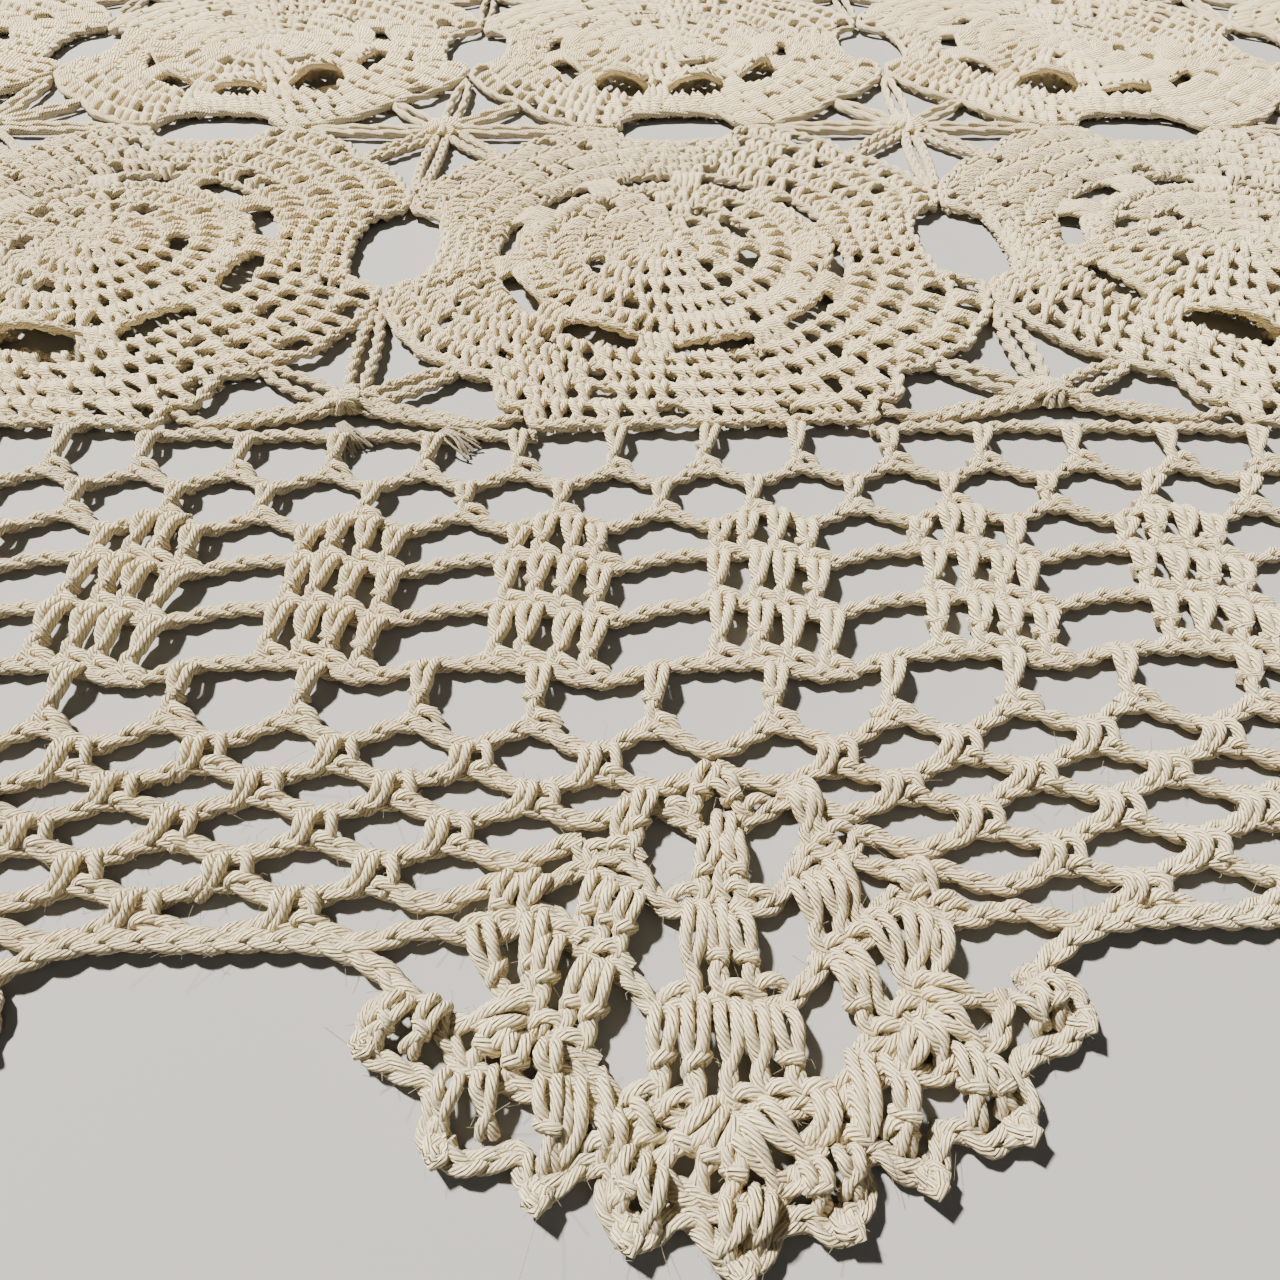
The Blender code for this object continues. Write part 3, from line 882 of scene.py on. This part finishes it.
def work_petal(piece, centre, middle, width):
    """A shell of trebles and the spokes beside it. Towards the front its edge curls up."""
    front = FRONT_MEAN - FRONT_SWING * math.sin(middle)
    rise = rng.uniform(*PETAL_CURL) * front
    edge = PETAL_RADIUS - PETAL_DRAWN_IN * (1 - front)
    edge_height, low, high = PETAL_HEIGHTS
    turn = np.linspace(-1, 1, PETAL_POINTS)
    crown = 1 - turn**2
    radii = edge + PETAL_CROWN * front * crown
    angles = middle + turn * PETAL_HALF_WIDTH * width
    chain(piece, ring_path(centre, radii, angles, edge_height + rise * crown))
    places = np.linspace(-TREBLE_REACH, TREBLE_REACH, PETAL_TREBLES)
    bow = 1 - places**2
    angles = middle + places * PETAL_HALF_WIDTH * width
    starts = ring_path(centre, np.full(PETAL_TREBLES, PETAL_STARTS), angles, low)
    ends = ring_path(centre, edge + PETAL_CROWN * front * bow, angles, high + rise * bow)
    stitch(piece, "tight", starts, ends, girth=YARN * MOTIF_YARN)
    spokes = middle + 0.5 * width + SPOKES
    near, far = np.full((2, len(SPOKES)), ((edge - SPOKE_LAP,), (RING_STARTS + SPOKE_LAP,)))
    starts = ring_path(centre, near, spokes, SPOKE_HEIGHTS[0])
    ends = ring_path(centre, far, spokes, SPOKE_HEIGHTS[1])
    stitch(piece, "grain", starts, ends, girth=YARN * MOTIF_YARN)


print("petals round a disc:", PETALS, "with", PETALS * PETAL_TREBLES, "trebles")

# %% A whole motif
AROUND_DISC = 70
AROUND_RING = 260
EDGE_WAVE = 0.02


def work_motif(piece, middle, on_border, spin):
    """The rounds of a disc, its petals, and the rounds of the ring out to the outline."""
    outline = motif_outline(on_border) - DISC_SHIFT
    centre = middle + DISC_SHIFT
    for inner, outer, count, height, worked in DISC:
        angles = uneven_angles(spin, count, DISC_ANGLES_UNEVEN)
        work_round(piece, centre, angles, DISC_LEAN / outer, inner, outer, height, worked)
        around = np.linspace(0, 2 * math.pi, int(outer * AROUND_DISC) + 8)
        edge = np.full_like(around, outer + DISC_EDGE)
        chain(piece, ring_path(centre, edge, around, height + EDGE_HEIGHT))
    width = 2 * math.pi / PETALS
    for petal in range(PETALS):
        work_petal(piece, centre, spin + width * (petal + 0.5), width)
    around = np.linspace(0, 2 * math.pi, AROUND_RING)
    whole = reach_at(outline, around) - RING_STARTS - RING_SHORTER
    chain(piece, ring_path(centre, RING_STARTS, around, CHAIN_Z))
    for near, far, count, lift in RING:
        angles = uneven_angles(spin, count, RING_ANGLES_UNEVEN)
        depth = reach_at(outline, angles) - RING_STARTS - RING_SHORTER
        inner, outer = RING_STARTS + near * depth, RING_STARTS + far * depth
        work_round(piece, centre, angles, RING_LEAN, inner, outer, lift, WORKED)
        wave = EDGE_WAVE * np.sin(count / 3 * around)
        edge = RING_STARTS + (far + RING_EDGE) * whole + wave
        chain(piece, ring_path(centre, edge, around, lift + EDGE_HEIGHT))


print("rounds in a motif:", len(DISC), "in its disc and", len(RING), "in its ring")

# %% [markdown]
# ## The stars
#
# Where four motifs meet, eight pairs of chains run to a knot in the middle. Along the border
# half of such a star is left. A leg could be one thick chain, but its two chains part in the
# middle and meet at both ends, so both are drawn.

# %% Stars
LEG_SPREAD = 0.12
LEG_POINTS = 16
LEG_SWING = 0.04
LEG_LIFT = 0.02
LONG_LEG = 2.28
SHORT_LEG = 1.62
KNOT_YARN = 1.1
HUB_HEIGHT = 0.06
HUB_BACK = 0.10
HUB_REACH = 0.30
# A half star, as (s, v) from the joint of two motifs: its hub, the tips of its legs to the joint
# and the motifs, and on either hand its foot at the border's edge and a chain that ties it down.
HALF_HUB = (0.0, -0.48)
HALF_TIPS = ((0.0, -2.34), (-1.16, -1.14), (1.16, -1.14))
FOOT_TIP = (1.4, -0.13)
FOOT_SPREAD = 0.06
FOOT_TIE = ((1.3, -0.14), (1.6, -0.15), (1.95, -0.30))
HALF_KNOT_TURNS = (-1.8, -1.0, 0.0, 1.0, 1.8)
# The one leg in a corner runs from its first place to its second, counted from the corner.
CORNER_LEG = (0.15, 1.14)


def leg(piece, hub, tip, spread=LEG_SPREAD):
    """A pair of chains from a hub to a tip, a little apart and crossing at both ends."""
    hub = np.asarray(hub, float)
    run = np.asarray(tip, float) - hub
    across = np.array([run[1], -run[0]]) / np.linalg.norm(run)
    share = np.linspace(0, 1, LEG_POINTS)
    bow = np.sin(np.pi * share) ** 0.5
    for hand in (-1, 1):
        flat = hub + share[:, None] * run + (hand * spread * bow)[:, None] * across
        z = np.full((len(share), 1), CHAIN_Z + LEG_LIFT)
        chain(piece, np.concatenate([flat, z], axis=1), swing=LEG_SWING)


def hub_knot(piece, hub, directions):
    """Short stitches over a hub, one along each leg."""
    angles = np.array(directions)
    way = np.stack([np.cos(angles), np.sin(angles), np.zeros_like(angles)], axis=1)
    middle = np.array([hub[0], hub[1], HUB_HEIGHT])
    starts, ends = middle - HUB_BACK * way, middle + HUB_REACH * way
    stitch(piece, "tight", starts, ends, girth=YARN * KNOT_YARN)


print("a leg is drawn through", LEG_POINTS, "points")

# %% Working the stars
LEG_COUNT = 8


def work_star(piece, hub):
    """Eight legs: long ones along the joints of the motifs and short ones between them."""
    directions = [i * 2 * math.pi / LEG_COUNT for i in range(LEG_COUNT)]
    for i, angle in enumerate(directions):
        reach = SHORT_LEG if i % 2 else LONG_LEG
        leg(piece, hub, (hub[0] + reach * math.cos(angle), hub[1] + reach * math.sin(angle)))
    hub_knot(piece, hub, directions)


def work_half_star(piece, quarter, s):
    """A half star at the edge: one leg to the joint of the motifs, one to each of them."""

    def place(across, v):
        return side_point(quarter, (s + across, v))

    hub = place(*HALF_HUB)
    for tip in HALF_TIPS:
        leg(piece, hub, place(*tip))
    for hand in (-1, 1):
        leg(piece, hub, place(hand * FOOT_TIP[0], FOOT_TIP[1]), spread=FOOT_SPREAD)
        tie = [(s + hand * across, v, CHAIN_Z) for across, v in FOOT_TIE]
        chain(piece, smooth_path(side_point(quarter, tie)))
    x, y = place(0, -2) - place(0, -1)
    hub_knot(piece, hub, [math.atan2(y, x) + turn for turn in HALF_KNOT_TURNS])


def work_corner_star(piece, quarter):
    start, stop = ((half_length(quarter) - place, -place) for place in CORNER_LEG)
    leg(piece, side_point(quarter, start), side_point(quarter, stop))


print("a star has", LEG_COUNT, "pairs of chains and a half star", len(HALF_TIPS) + 2)

# %% [markdown]
# ## Loose ends and fuzz
#
# Two yarn ends below a half star were cut short and have frayed. Cotton also sheds fine fibres:
# near the camera short arcs leave the yarn sideways and up. Hair would draw them too, but only
# meshes are kept, so both are strands like all others.

# %% Loose ends and fuzz
LOOSE_ENDS = [((-4.03, -0.14), (-3.70, 0.30)), ((-2.88, -0.02), (-2.50, 0.28))]
END_PLIES = 9
PLY_YARN = 0.3
# How far the plies stand apart at the root, in the middle and at the tip, and how high.
PLY_SPREADS = (0.08, 0.17, 0.32)
PLY_HEIGHTS = (0.13, 0.17, 0.04)
PLY_LENGTHS = (0.75, 1.0)
PLY_STRAY = 0.02
FUZZ_COUNT = 1800
FUZZ_GIRTH = 0.0018
FUZZ_LENGTHS = (0.05, 0.10)
FUZZ_RISE = 0.9
FUZZ_FALL = -0.5
FUZZ_MIDDLE = 0.75


def work_loose_end(piece, quarter, start, stop):
    """A cut yarn end whose plies spread. start and stop are (s, v) on a side."""
    start, stop = np.array(start), np.array(stop)
    across = np.array([stop[1] - start[1], start[0] - stop[0]])
    root_spread, middle_spread, tip_spread = PLY_SPREADS
    for place in np.linspace(-1, 1, END_PLIES):
        bend = rng.normal(0, PLY_STRAY, 2)
        root = start + root_spread * place * across
        middle = (start + stop) / 2 + middle_spread * place * across + bend
        length = rng.uniform(*PLY_LENGTHS)
        tip = start + length * (stop - start) + tip_spread * place * across - bend
        path = [(*point, z) for point, z in zip((root, middle, tip), PLY_HEIGHTS)]
        drop(piece, MEDIUM, smooth_path(side_point(quarter, path))[None], YARN * PLY_YARN)


def work_fuzz(piece, count):
    """Loose fibres that leave a piece's nearest strands in short arcs."""
    points = np.concatenate([strands.reshape(-1, 3) for strands, _ in basket[piece, FINE]])
    roots = points[rng.integers(0, len(points), count)]
    turn = rng.uniform(0, 2 * math.pi, count)
    out = np.stack([np.cos(turn), np.sin(turn), rng.uniform(0.0, FUZZ_RISE, count)], axis=1)
    bend = np.stack([-np.sin(turn), np.cos(turn), np.full(count, FUZZ_FALL)], axis=1)
    length = rng.uniform(*FUZZ_LENGTHS, (count, 1))
    middles = roots + FUZZ_MIDDLE * length * out
    tips = roots + length * (out + bend * rng.normal(0, 1.0, (count, 1)))
    drop(piece, FUZZ, np.stack([roots, middles, tips], axis=1), FUZZ_GIRTH)


print("plies in the two loose ends:", END_PLIES * len(LOOSE_ENDS), "and fibres:", FUZZ_COUNT)

# %% [markdown]
# ## Working the whole runner
#
# Now every round and row is worked. Each motif and star is a piece of its own, and the border is
# parted in its rows and the net and fans of each side, so that no piece grows too heavy.

# %% Work everything
MOST_SPIN = 0.3
for row, row_name in enumerate(("front", "back")):
    for column in range(MOTIFS_LONG):
        middle = (
            (column + 0.5) * MOTIF_PITCH - HALF_LONG,
            (row + 0.5) * MOTIF_PITCH - HALF_WIDE,
        )
        edges = (row == 0, column == MOTIFS_LONG - 1, row == MOTIFS_WIDE - 1, column == 0)
        piece = f"motif_{row_name}_{column + 1}_yarn"
        work_motif(piece, middle, edges, spin=rng.uniform(0, MOST_SPIN))

for joint in range(1, MOTIFS_LONG):
    work_star(f"star_{joint}_yarn", (joint * MOTIF_PITCH - HALF_LONG, 0.0))

SIDE_NAMES = ("front", "right", "back", "left")
for quarter, side in enumerate(SIDE_NAMES):
    work_rows("border_rows", quarter)
    half = half_length(quarter)
    for joint in range(1, round(2 * half / MOTIF_PITCH)):
        work_half_star("border_rows", quarter, joint * MOTIF_PITCH - half)
    work_corner_star("border_rows", quarter)
    work_net(f"border_{side}_net", quarter)
    work_fans(f"border_{side}_net", quarter)
for start, stop in LOOSE_ENDS:
    work_loose_end("border_rows", 0, start, stop)
work_fuzz("border_front_net", FUZZ_COUNT)
print("strands:", sum(len(part[0]) for parts in basket.values() for part in parts))

# %% [markdown]
# ## Yarn from a line: the Geometry Nodes tree
#
# A strand is only a line so far. The tree draws a circle along it, as wide as the strand's own
# girth says, and notes on the surface how far along the yarn each point lies and on which side
# of it. The finish reads those notes to lay the twisted plies. The side is kept as a direction,
# not an angle, so that it has no seam. A curve with a bevel would draw such tubes, but a tree
# notes what the finish needs and takes all strands at once.

# %% What the tree is made of
# Each node's name, type, settings, and the values of its sockets.
TREE_NODES = (
    ("given", "NodeGroupInput", {}, {}),
    ("result", "NodeGroupOutput", {}, {}),
    ("lines", "GeometryNodeMeshToCurve", {}, {}),
    ("girth", "GeometryNodeInputNamedAttribute", {"data_type": "FLOAT"}, {"Name": "girth"}),
    ("along line", "GeometryNodeSplineParameter", {}, {}),
    ("note length", "GeometryNodeCaptureAttribute", {"domain": "POINT"}, {}),
    ("note girth", "GeometryNodeCaptureAttribute", {"domain": "POINT"}, {}),
    ("round", "GeometryNodeCurvePrimitiveCircle", {}, {"Radius": 1.0}),
    ("on round", "GeometryNodeInputPosition", {}, {}),
    ("note side", "GeometryNodeCaptureAttribute", {"domain": "POINT"}, {}),
    ("drawn", "GeometryNodeCurveToMesh", {}, {"Fill Caps": True}),
    ("notes", "ShaderNodeCombineXYZ", {}, {}),
    ("side parts", "ShaderNodeSeparateXYZ", {}, {}),
    (
        "keep",
        "GeometryNodeStoreNamedAttribute",
        {"data_type": "FLOAT_VECTOR", "domain": "POINT"},
        {"Name": "ply"},
    ),
    ("smooth", "GeometryNodeSetShadeSmooth", {}, {}),
    ("real", "GeometryNodeRealizeInstances", {}, {}),
    ("dressed", "GeometryNodeSetMaterial", {}, {}),
)
# What is noted on the line and on the circle before they are drawn as one.
TREE_NOTES = (
    ("note length", "FLOAT", "Along"),
    ("note girth", "FLOAT", "Girth"),
    ("note side", "VECTOR", "Side"),
)
# From each node's output to a node's input.
TREE_WIRES = (
    ("given", "Strands", "lines", "Mesh"),
    ("lines", "Curve", "note girth", "Geometry"),
    ("girth", "Attribute", "note girth", "Girth"),
    ("note girth", "Geometry", "note length", "Geometry"),
    ("along line", "Length", "note length", "Along"),
    ("given", "Sides", "round", "Resolution"),
    ("round", "Curve", "note side", "Geometry"),
    ("on round", "Position", "note side", "Side"),
    ("note length", "Geometry", "drawn", "Curve"),
    ("note side", "Geometry", "drawn", "Profile Curve"),
    ("note girth", "Girth", "drawn", "Scale"),
    ("note side", "Side", "side parts", "Vector"),
    ("side parts", "X", "notes", "X"),
    ("side parts", "Y", "notes", "Y"),
    ("note length", "Along", "notes", "Z"),
    ("drawn", "Mesh", "keep", "Geometry"),
    ("notes", "Vector", "keep", "Value"),
    ("keep", "Geometry", "smooth", "Geometry"),
    ("smooth", "Geometry", "real", "Geometry"),
    ("real", "Geometry", "dressed", "Geometry"),
    ("given", "Cotton", "dressed", "Material"),
    ("dressed", "Geometry", "result", "Yarn"),
)
TREE_SOCKETS = (
    ("Strands", "INPUT", "NodeSocketGeometry"),
    ("Sides", "INPUT", "NodeSocketInt"),
    ("Cotton", "INPUT", "NodeSocketMaterial"),
    ("Yarn", "OUTPUT", "NodeSocketGeometry"),
)
print("sockets given to the tree:", [name for name, way, _ in TREE_SOCKETS if way == "INPUT"])

# %% Build the tree


def yarn_tree():
    tree = bpy.data.node_groups.new("yarn along strands", "GeometryNodeTree")
    for name, way, kind in TREE_SOCKETS:
        tree.interface.new_socket(name=name, in_out=way, socket_type=kind)
    made = {}
    for name, kind, settings, values in TREE_NODES:
        made[name] = tree.nodes.new(kind)
        made[name].name = name
        for setting, value in settings.items():
            setattr(made[name], setting, value)
        for socket, value in values.items():
            made[name].inputs[socket].default_value = value
    for name, kind, note in TREE_NOTES:
        made[name].capture_items.new(kind, note)
    for source, output, target, entry in TREE_WIRES:
        tree.links.new(made[source].outputs[output], made[target].inputs[entry])
    return tree


YARN_TREE = yarn_tree()
print("the tree has", len(YARN_TREE.nodes), "nodes")

# %% [markdown]
# ## The cotton
#
# Natural cotton is a warm off-white, matt, with a faint lustre along its fibres. Its look comes
# from its make: fine plies twisted together, each a ridge that runs round the yarn, with soft
# shade in the grooves between them and fine fibres along them. Colour drifts a little from
# place to place. Shade is also painted into the colour: painted shade in the grooves between the
# plies, and painted shade that makes the work darker and browner the lower it lies, in its
# hollows. The plies could be modelled one by one, but they would take many times the triangles,
# so they are bump and colour.

# %% Sums on sockets


class Value:
    """A socket whose arithmetic adds Math nodes, so that a formula reads as a formula."""

    def __init__(self, shade, socket):
        self.shade = shade
        self.socket = socket

    def math(self, operation, *values):
        return self.shade.node("ShaderNodeMath", {"operation": operation}, dict(enumerate(values)))

    def __add__(self, other):
        return self.math("ADD", self, other)

    def __radd__(self, other):
        return self.math("ADD", other, self)

    def __sub__(self, other):
        return self.math("SUBTRACT", self, other)

    def __rsub__(self, other):
        return self.math("SUBTRACT", other, self)

    def __mul__(self, other):
        return self.math("MULTIPLY", self, other)

    def __rmul__(self, other):
        return self.math("MULTIPLY", other, self)

    def __pow__(self, other):
        return self.math("POWER", self, other)

    def __rpow__(self, other):
        return self.math("POWER", other, self)

    def sine(self):
        return self.math("SINE", self)

    def cosine(self):
        return self.math("COSINE", self)

    def size(self):
        return self.math("ABSOLUTE", self)

    def angle_to(self, other):
        return self.math("ARCTAN2", self, other)

    def clamped(self, low, high):
        return self.math("MINIMUM", self.math("MAXIMUM", self, low), high)


print("sums on sockets can use +, -, * and **")

# %% One method for any node


class Shade:
    """A material's node tree, with one method for any node."""

    def __init__(self, name):
        self.material = bpy.data.materials.new(name)
        self.material.use_nodes = True
        self.tree = self.material.node_tree
        self.surface = self.tree.nodes["Principled BSDF"]

    def node(self, kind, settings=None, values=None, output=0):
        """Adds a node: first its settings, a ramp's stops among them, then its sockets."""
        made = self.tree.nodes.new(kind)
        for setting, value in (settings or {}).items():
            if setting == "stops":
                for element, (place, colour) in zip(made.color_ramp.elements, value):
                    element.position = place
                    element.color = (*colour, 1.0)
            else:
                setattr(made, setting, value)
        for socket, value in (values or {}).items():
            self.feed(made.inputs[socket], value)
        return Value(self, made.outputs[output])

    def feed(self, socket, value):
        if isinstance(value, Value):
            self.tree.links.new(value.socket, socket)
        else:
            socket.default_value = value

    def noise(self, place, scale, detail):
        values = {"Vector": place, "Scale": scale, "Detail": detail}
        return self.node("ShaderNodeTexNoise", None, values)

    def parts(self, vector):
        """The three numbers of a vector."""
        first = self.node("ShaderNodeSeparateXYZ", None, {"Vector": vector})
        return [Value(self, socket) for socket in first.socket.node.outputs]

    def blend(self, factor, first, second):
        """A colour between two, the second one given as numbers. A Mix node has its colours
        on its inputs 6 and 7 and its output 2."""
        values = {0: factor, 6: first, 7: (*second, 1.0)}
        return self.node("ShaderNodeMix", {"data_type": "RGBA"}, values, output=2)


print("one method, Shade.node, adds every node of a finish")

# %% The yarn's finish
PLIES = 8
TWIST_LENGTH = 0.0042
PLY_WAVER = 2.6
# Painted shade in the grooves between plies: how dark it is and how narrow.
GROOVE_SHADE = 0.55
GROOVE_SHARPNESS = 2.0
# Painted shade: how much darker and browner the work is painted the lower it lies.
HOLLOW_SHADE = 0.55
CREAM = (0.88, 0.72, 0.43)
CREAM_LIGHT = (0.96, 0.83, 0.52)
# Painted shade: the colour that the grooves between plies and the low hollows are darkened toward.
CREAM_PAINTED_SHADE = (0.46, 0.36, 0.24)
CREAM_STOPS = [(0.30, CREAM), (0.70, CREAM_LIGHT)]
FIBRE_LIGHT = (0.97, 0.86, 0.62)
FLECK_BROWN = (0.62, 0.50, 0.34)
# Where fibres and flecks start in their noise, how fast they grow, and how strong they get.
FIBRE_MASK = (0.45, 1.1, 0.35)
FLECK_MASK = (0.60, 1.6, 0.25)
# Scale and detail of each noise, and how far the fibres' noise is drawn round and along the yarn.
WAVER_NOISE = (330.0, 1.0)
DRIFT_NOISE = (38.0, 2.0)
FLECK_NOISE = (420.0, 3.0)
FIBRE_NOISE = (1.6, 3.0)
FIBRES_ROUND = 3.5
FIBRES_ALONG = 700.0
RELIEF_DEPTH = 0.0004
# The relief is a rounded ridge for each ply and fibres over it.
RIDGE_ROUNDNESS = 0.8
RIDGE_HEIGHT = 0.75
FIBRE_HEIGHT = 0.8
ROUGHNESS = 0.92
FIBRE_SHINE = 0.12


def cotton(name, bump, crown_height):
    """Twisted cotton with painted shade in its grooves and hollows. crown_height is how high
    the work lies where the painted shade of the hollows ends.
    """
    shade = Shade(name)
    notes = shade.node("ShaderNodeAttribute", {"attribute_name": "ply"}, output="Vector")
    side_x, side_y, along = shade.parts(notes)
    place = shade.node("ShaderNodeTexCoord", output="Object")
    _, _, above = shade.parts(place)
    angle = side_y.angle_to(side_x)
    waver = shade.noise(place, *WAVER_NOISE)
    # A ridge for each half turn of the sine, so half as many turns as plies.
    twist = along * (2 * math.pi * PLIES / 2 / TWIST_LENGTH)
    ridge = (angle * (PLIES / 2) + twist + waver * PLY_WAVER).sine().size()
    spiral = angle + along * (2 * math.pi / TWIST_LENGTH)
    on_yarn = {
        "X": spiral.sine() * FIBRES_ROUND,
        "Y": spiral.cosine() * FIBRES_ROUND,
        "Z": along * FIBRES_ALONG,
    }
    fibre = shade.noise(shade.node("ShaderNodeCombineXYZ", None, on_yarn), *FIBRE_NOISE)
    fleck = shade.noise(place, *FLECK_NOISE)
    # Painted shade in the hollows: 1 on the floor, falling to 0 at crown_height.
    hollow = (1 - above * (1 / crown_height)).clamped(0.0, 1.0)
    drift = shade.noise(place, *DRIFT_NOISE)
    colour = shade.node("ShaderNodeValToRGB", {"stops": CREAM_STOPS}, {"Fac": drift})
    for noise, mask, tint in ((fibre, FIBRE_MASK, FIBRE_LIGHT), (fleck, FLECK_MASK, FLECK_BROWN)):
        start, slope, most = mask
        colour = shade.blend(((noise - start) * slope).clamped(0.0, most), colour, tint)
    # Painted shade: the grooves between the plies are darkened toward the shade colour.
    colour = shade.blend((1 - ridge) ** GROOVE_SHARPNESS * GROOVE_SHADE, colour, CREAM_PAINTED_SHADE)
    colour = shade.blend(hollow * HOLLOW_SHADE, colour, CREAM_PAINTED_SHADE)
    height = ridge ** RIDGE_ROUNDNESS * RIDGE_HEIGHT + fibre * FIBRE_HEIGHT
    relief = {"Strength": bump, "Distance": RELIEF_DEPTH, "Height": height}
    surface = {
        "Base Color": colour,
        "Roughness": ROUGHNESS - fibre * FIBRE_SHINE,
        "Sheen Weight": 0.25,
        "Sheen Roughness": 0.5,
        "Specular IOR Level": 0.25,
        "Normal": shade.node("ShaderNodeBump", None, relief),
    }
    for socket, value in surface.items():
        shade.feed(shade.surface.inputs[socket], value)
    return shade.material


COTTON = {
    "motif": cotton("motif yarn", bump=0.85, crown_height=0.0021),
    "star": cotton("star yarn", bump=0.85, crown_height=0.0018),
    "border": cotton("border yarn", bump=1.0, crown_height=0.0018),
}
print("nodes in each finish:", {name: len(m.node_tree.nodes) for name, m in COTTON.items()})

# %% [markdown]
# ## Drawing the pieces
#
# Each basket becomes one mesh of bare lines, the tree turns it to yarn, and the result is kept as
# a plain mesh. The levels of one piece are drawn with as many sides as each deserves and joined.

# %% From strands to lines


def lines_mesh(name, parts):
    """A mesh of loose edges from strands, with the girth of each point."""
    points, edges, girths = [], [], []
    start = 0
    for strands, girth in parts:
        count, length = strands.shape[:2]
        points.append(laid(strands).reshape(-1, 3))
        index = start + np.arange(count * length).reshape(count, length)
        edges.append(np.stack([index[:, :-1], index[:, 1:]], axis=2).reshape(-1, 2))
        girths.append(np.full(count * length, girth * CELL))
        start += count * length
    points, edges, girths = (np.concatenate(part) for part in (points, edges, girths))
    mesh = bpy.data.meshes.new(name)
    mesh.vertices.add(len(points))
    mesh.vertices.foreach_set("co", points.astype(np.float32).ravel())
    mesh.edges.add(len(edges))
    mesh.edges.foreach_set("vertices", edges.astype(np.int32).ravel())
    girth_note = mesh.attributes.new("girth", "FLOAT", "POINT")
    girth_note.data.foreach_set("value", girths.astype(np.float32))
    mesh.update()
    return mesh


print("sides of a strand, by level:", SIDES)

# %% Draw the yarn


def drawn(name, parts, sides, material):
    """The tree's yarn along strands, kept as a plain mesh."""
    thing = bpy.data.objects.new(name, lines_mesh(name, parts))
    bpy.context.scene.collection.objects.link(thing)
    modifier = thing.modifiers.new("yarn", "NODES")
    modifier.node_group = YARN_TREE
    inputs = {"Sides": sides, "Cotton": material}
    for socket in YARN_TREE.interface.items_tree:
        if socket.name in inputs:
            modifier[socket.identifier] = inputs[socket.name]
    graph = bpy.context.evaluated_depsgraph_get()
    plain = bpy.data.meshes.new_from_object(thing.evaluated_get(graph))
    thing.modifiers.remove(modifier)
    bare = thing.data
    thing.data = plain
    bpy.data.meshes.remove(bare)
    return thing


def joined(things):
    with bpy.context.temp_override(
        active_object=things[0], selected_editable_objects=things, selected_objects=things
    ):
        bpy.ops.object.join()
    return things[0]


pieces = {}
for piece in dict.fromkeys(name for name, _ in basket):
    family = piece.split("_")[0]
    levels = [grade for grade in SIDES if (piece, grade) in basket]
    things = [
        drawn(f"{piece}_{grade}", basket[piece, grade], SIDES[grade], COTTON[family])
        for grade in levels
    ]
    pieces[piece] = joined(things) if len(things) > 1 else things[0]
    pieces[piece].name = piece
    pieces[piece].data.name = piece
total = 0
for name, thing in pieces.items():
    count = sum(len(face.vertices) - 2 for face in thing.data.polygons)
    total += count
    print(f"{name}: {count} triangles")
print("all yarn:", total, "triangles")

# %% [markdown]
# ## Joining the yarn to the frame
#
# Each piece rides on the runner's only body and stands for the solid under it.

# %% Ride and replace
for name, thing in pieces.items():
    family = name.split("_")[0]
    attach(thing, "root")
    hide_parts("border" if family == "border" else name.removesuffix("_yarn"))
print("pieces that ride on the runner:", len(pieces))

# %% [markdown]
# ## Floor, light and camera
#
# The picture is taken from a hand's height above the near edge, looking steeply down, with the
# light from the upper left. A large lamp would blur the shadows under the yarn, so the key light
# is small and a weak fill opens them a little. The floor is plain and pale.

# %% Stage
FLOOR_SIZE = 3.0
FLOOR_GREY = (0.29, 0.29, 0.29, 1.0)
FLOOR_ROUGHNESS = 0.9
# Each light: its place, what it points at, its size, power and colour.
LIGHTS = {
    "key": ((-1.05, 0.85, 1.68), (0, -0.05, 0), 0.15, 238.0, (1.0, 0.94, 0.84)),
    "fill": ((1.2, -1.0, 1.6), (0, 0, 0), 1.6, 3.0, (1.0, 0.97, 0.92)),
}
WORLD_COLOUR = (1.0, 0.97, 0.92, 1.0)
WORLD_STRENGTH = 0.10

bpy.ops.mesh.primitive_plane_add(size=FLOOR_SIZE, location=(0, 0, 0))
floor = bpy.context.object
floor.name = "floor"
floor_shade = Shade("floor finish")
floor_shade.feed(floor_shade.surface.inputs["Base Color"], FLOOR_GREY)
floor_shade.feed(floor_shade.surface.inputs["Roughness"], FLOOR_ROUGHNESS)
floor.data.materials.append(floor_shade.material)

for name, (place, target, size, power, colour) in LIGHTS.items():
    light = bpy.data.lights.new(name, "AREA")
    light.shape = "SQUARE"
    light.size = size
    light.energy = power
    light.color = colour
    lamp = bpy.data.objects.new(name, light)
    lamp.location = place
    lamp.rotation_euler = (Vector(target) - Vector(place)).to_track_quat("-Z", "Y").to_euler()
    bpy.context.scene.collection.objects.link(lamp)

world = bpy.data.worlds.new("studio")
world.use_nodes = True
background = world.node_tree.nodes["Background"]
background.inputs["Color"].default_value = WORLD_COLOUR
background.inputs["Strength"].default_value = WORLD_STRENGTH
bpy.context.scene.world = world

print("lights:", list(LIGHTS))

# %% Camera
SENSOR_WIDTH = 36.0
CLIP_START = 0.005

camera_data = bpy.data.cameras.new("camera")
camera_data.sensor_width = SENSOR_WIDTH
camera_data.lens = SENSOR_WIDTH * FOCAL_PIXELS / PICTURE_PIXELS
camera_data.clip_start = CLIP_START
camera = bpy.data.objects.new("camera", camera_data)
camera.location = (
    CAMERA_LEFT * CELL,
    -(HALF_WIDE + CAMERA_BACK) * CELL,
    CAMERA_HEIGHT * CELL,
)
camera.rotation_euler = (math.pi / 2 - CAMERA_PITCH, 0, 0)
bpy.context.scene.collection.objects.link(camera)
bpy.context.scene.camera = camera
print("the camera is", round(CAMERA_HEIGHT * CELL * 1000), "mm above the floor")
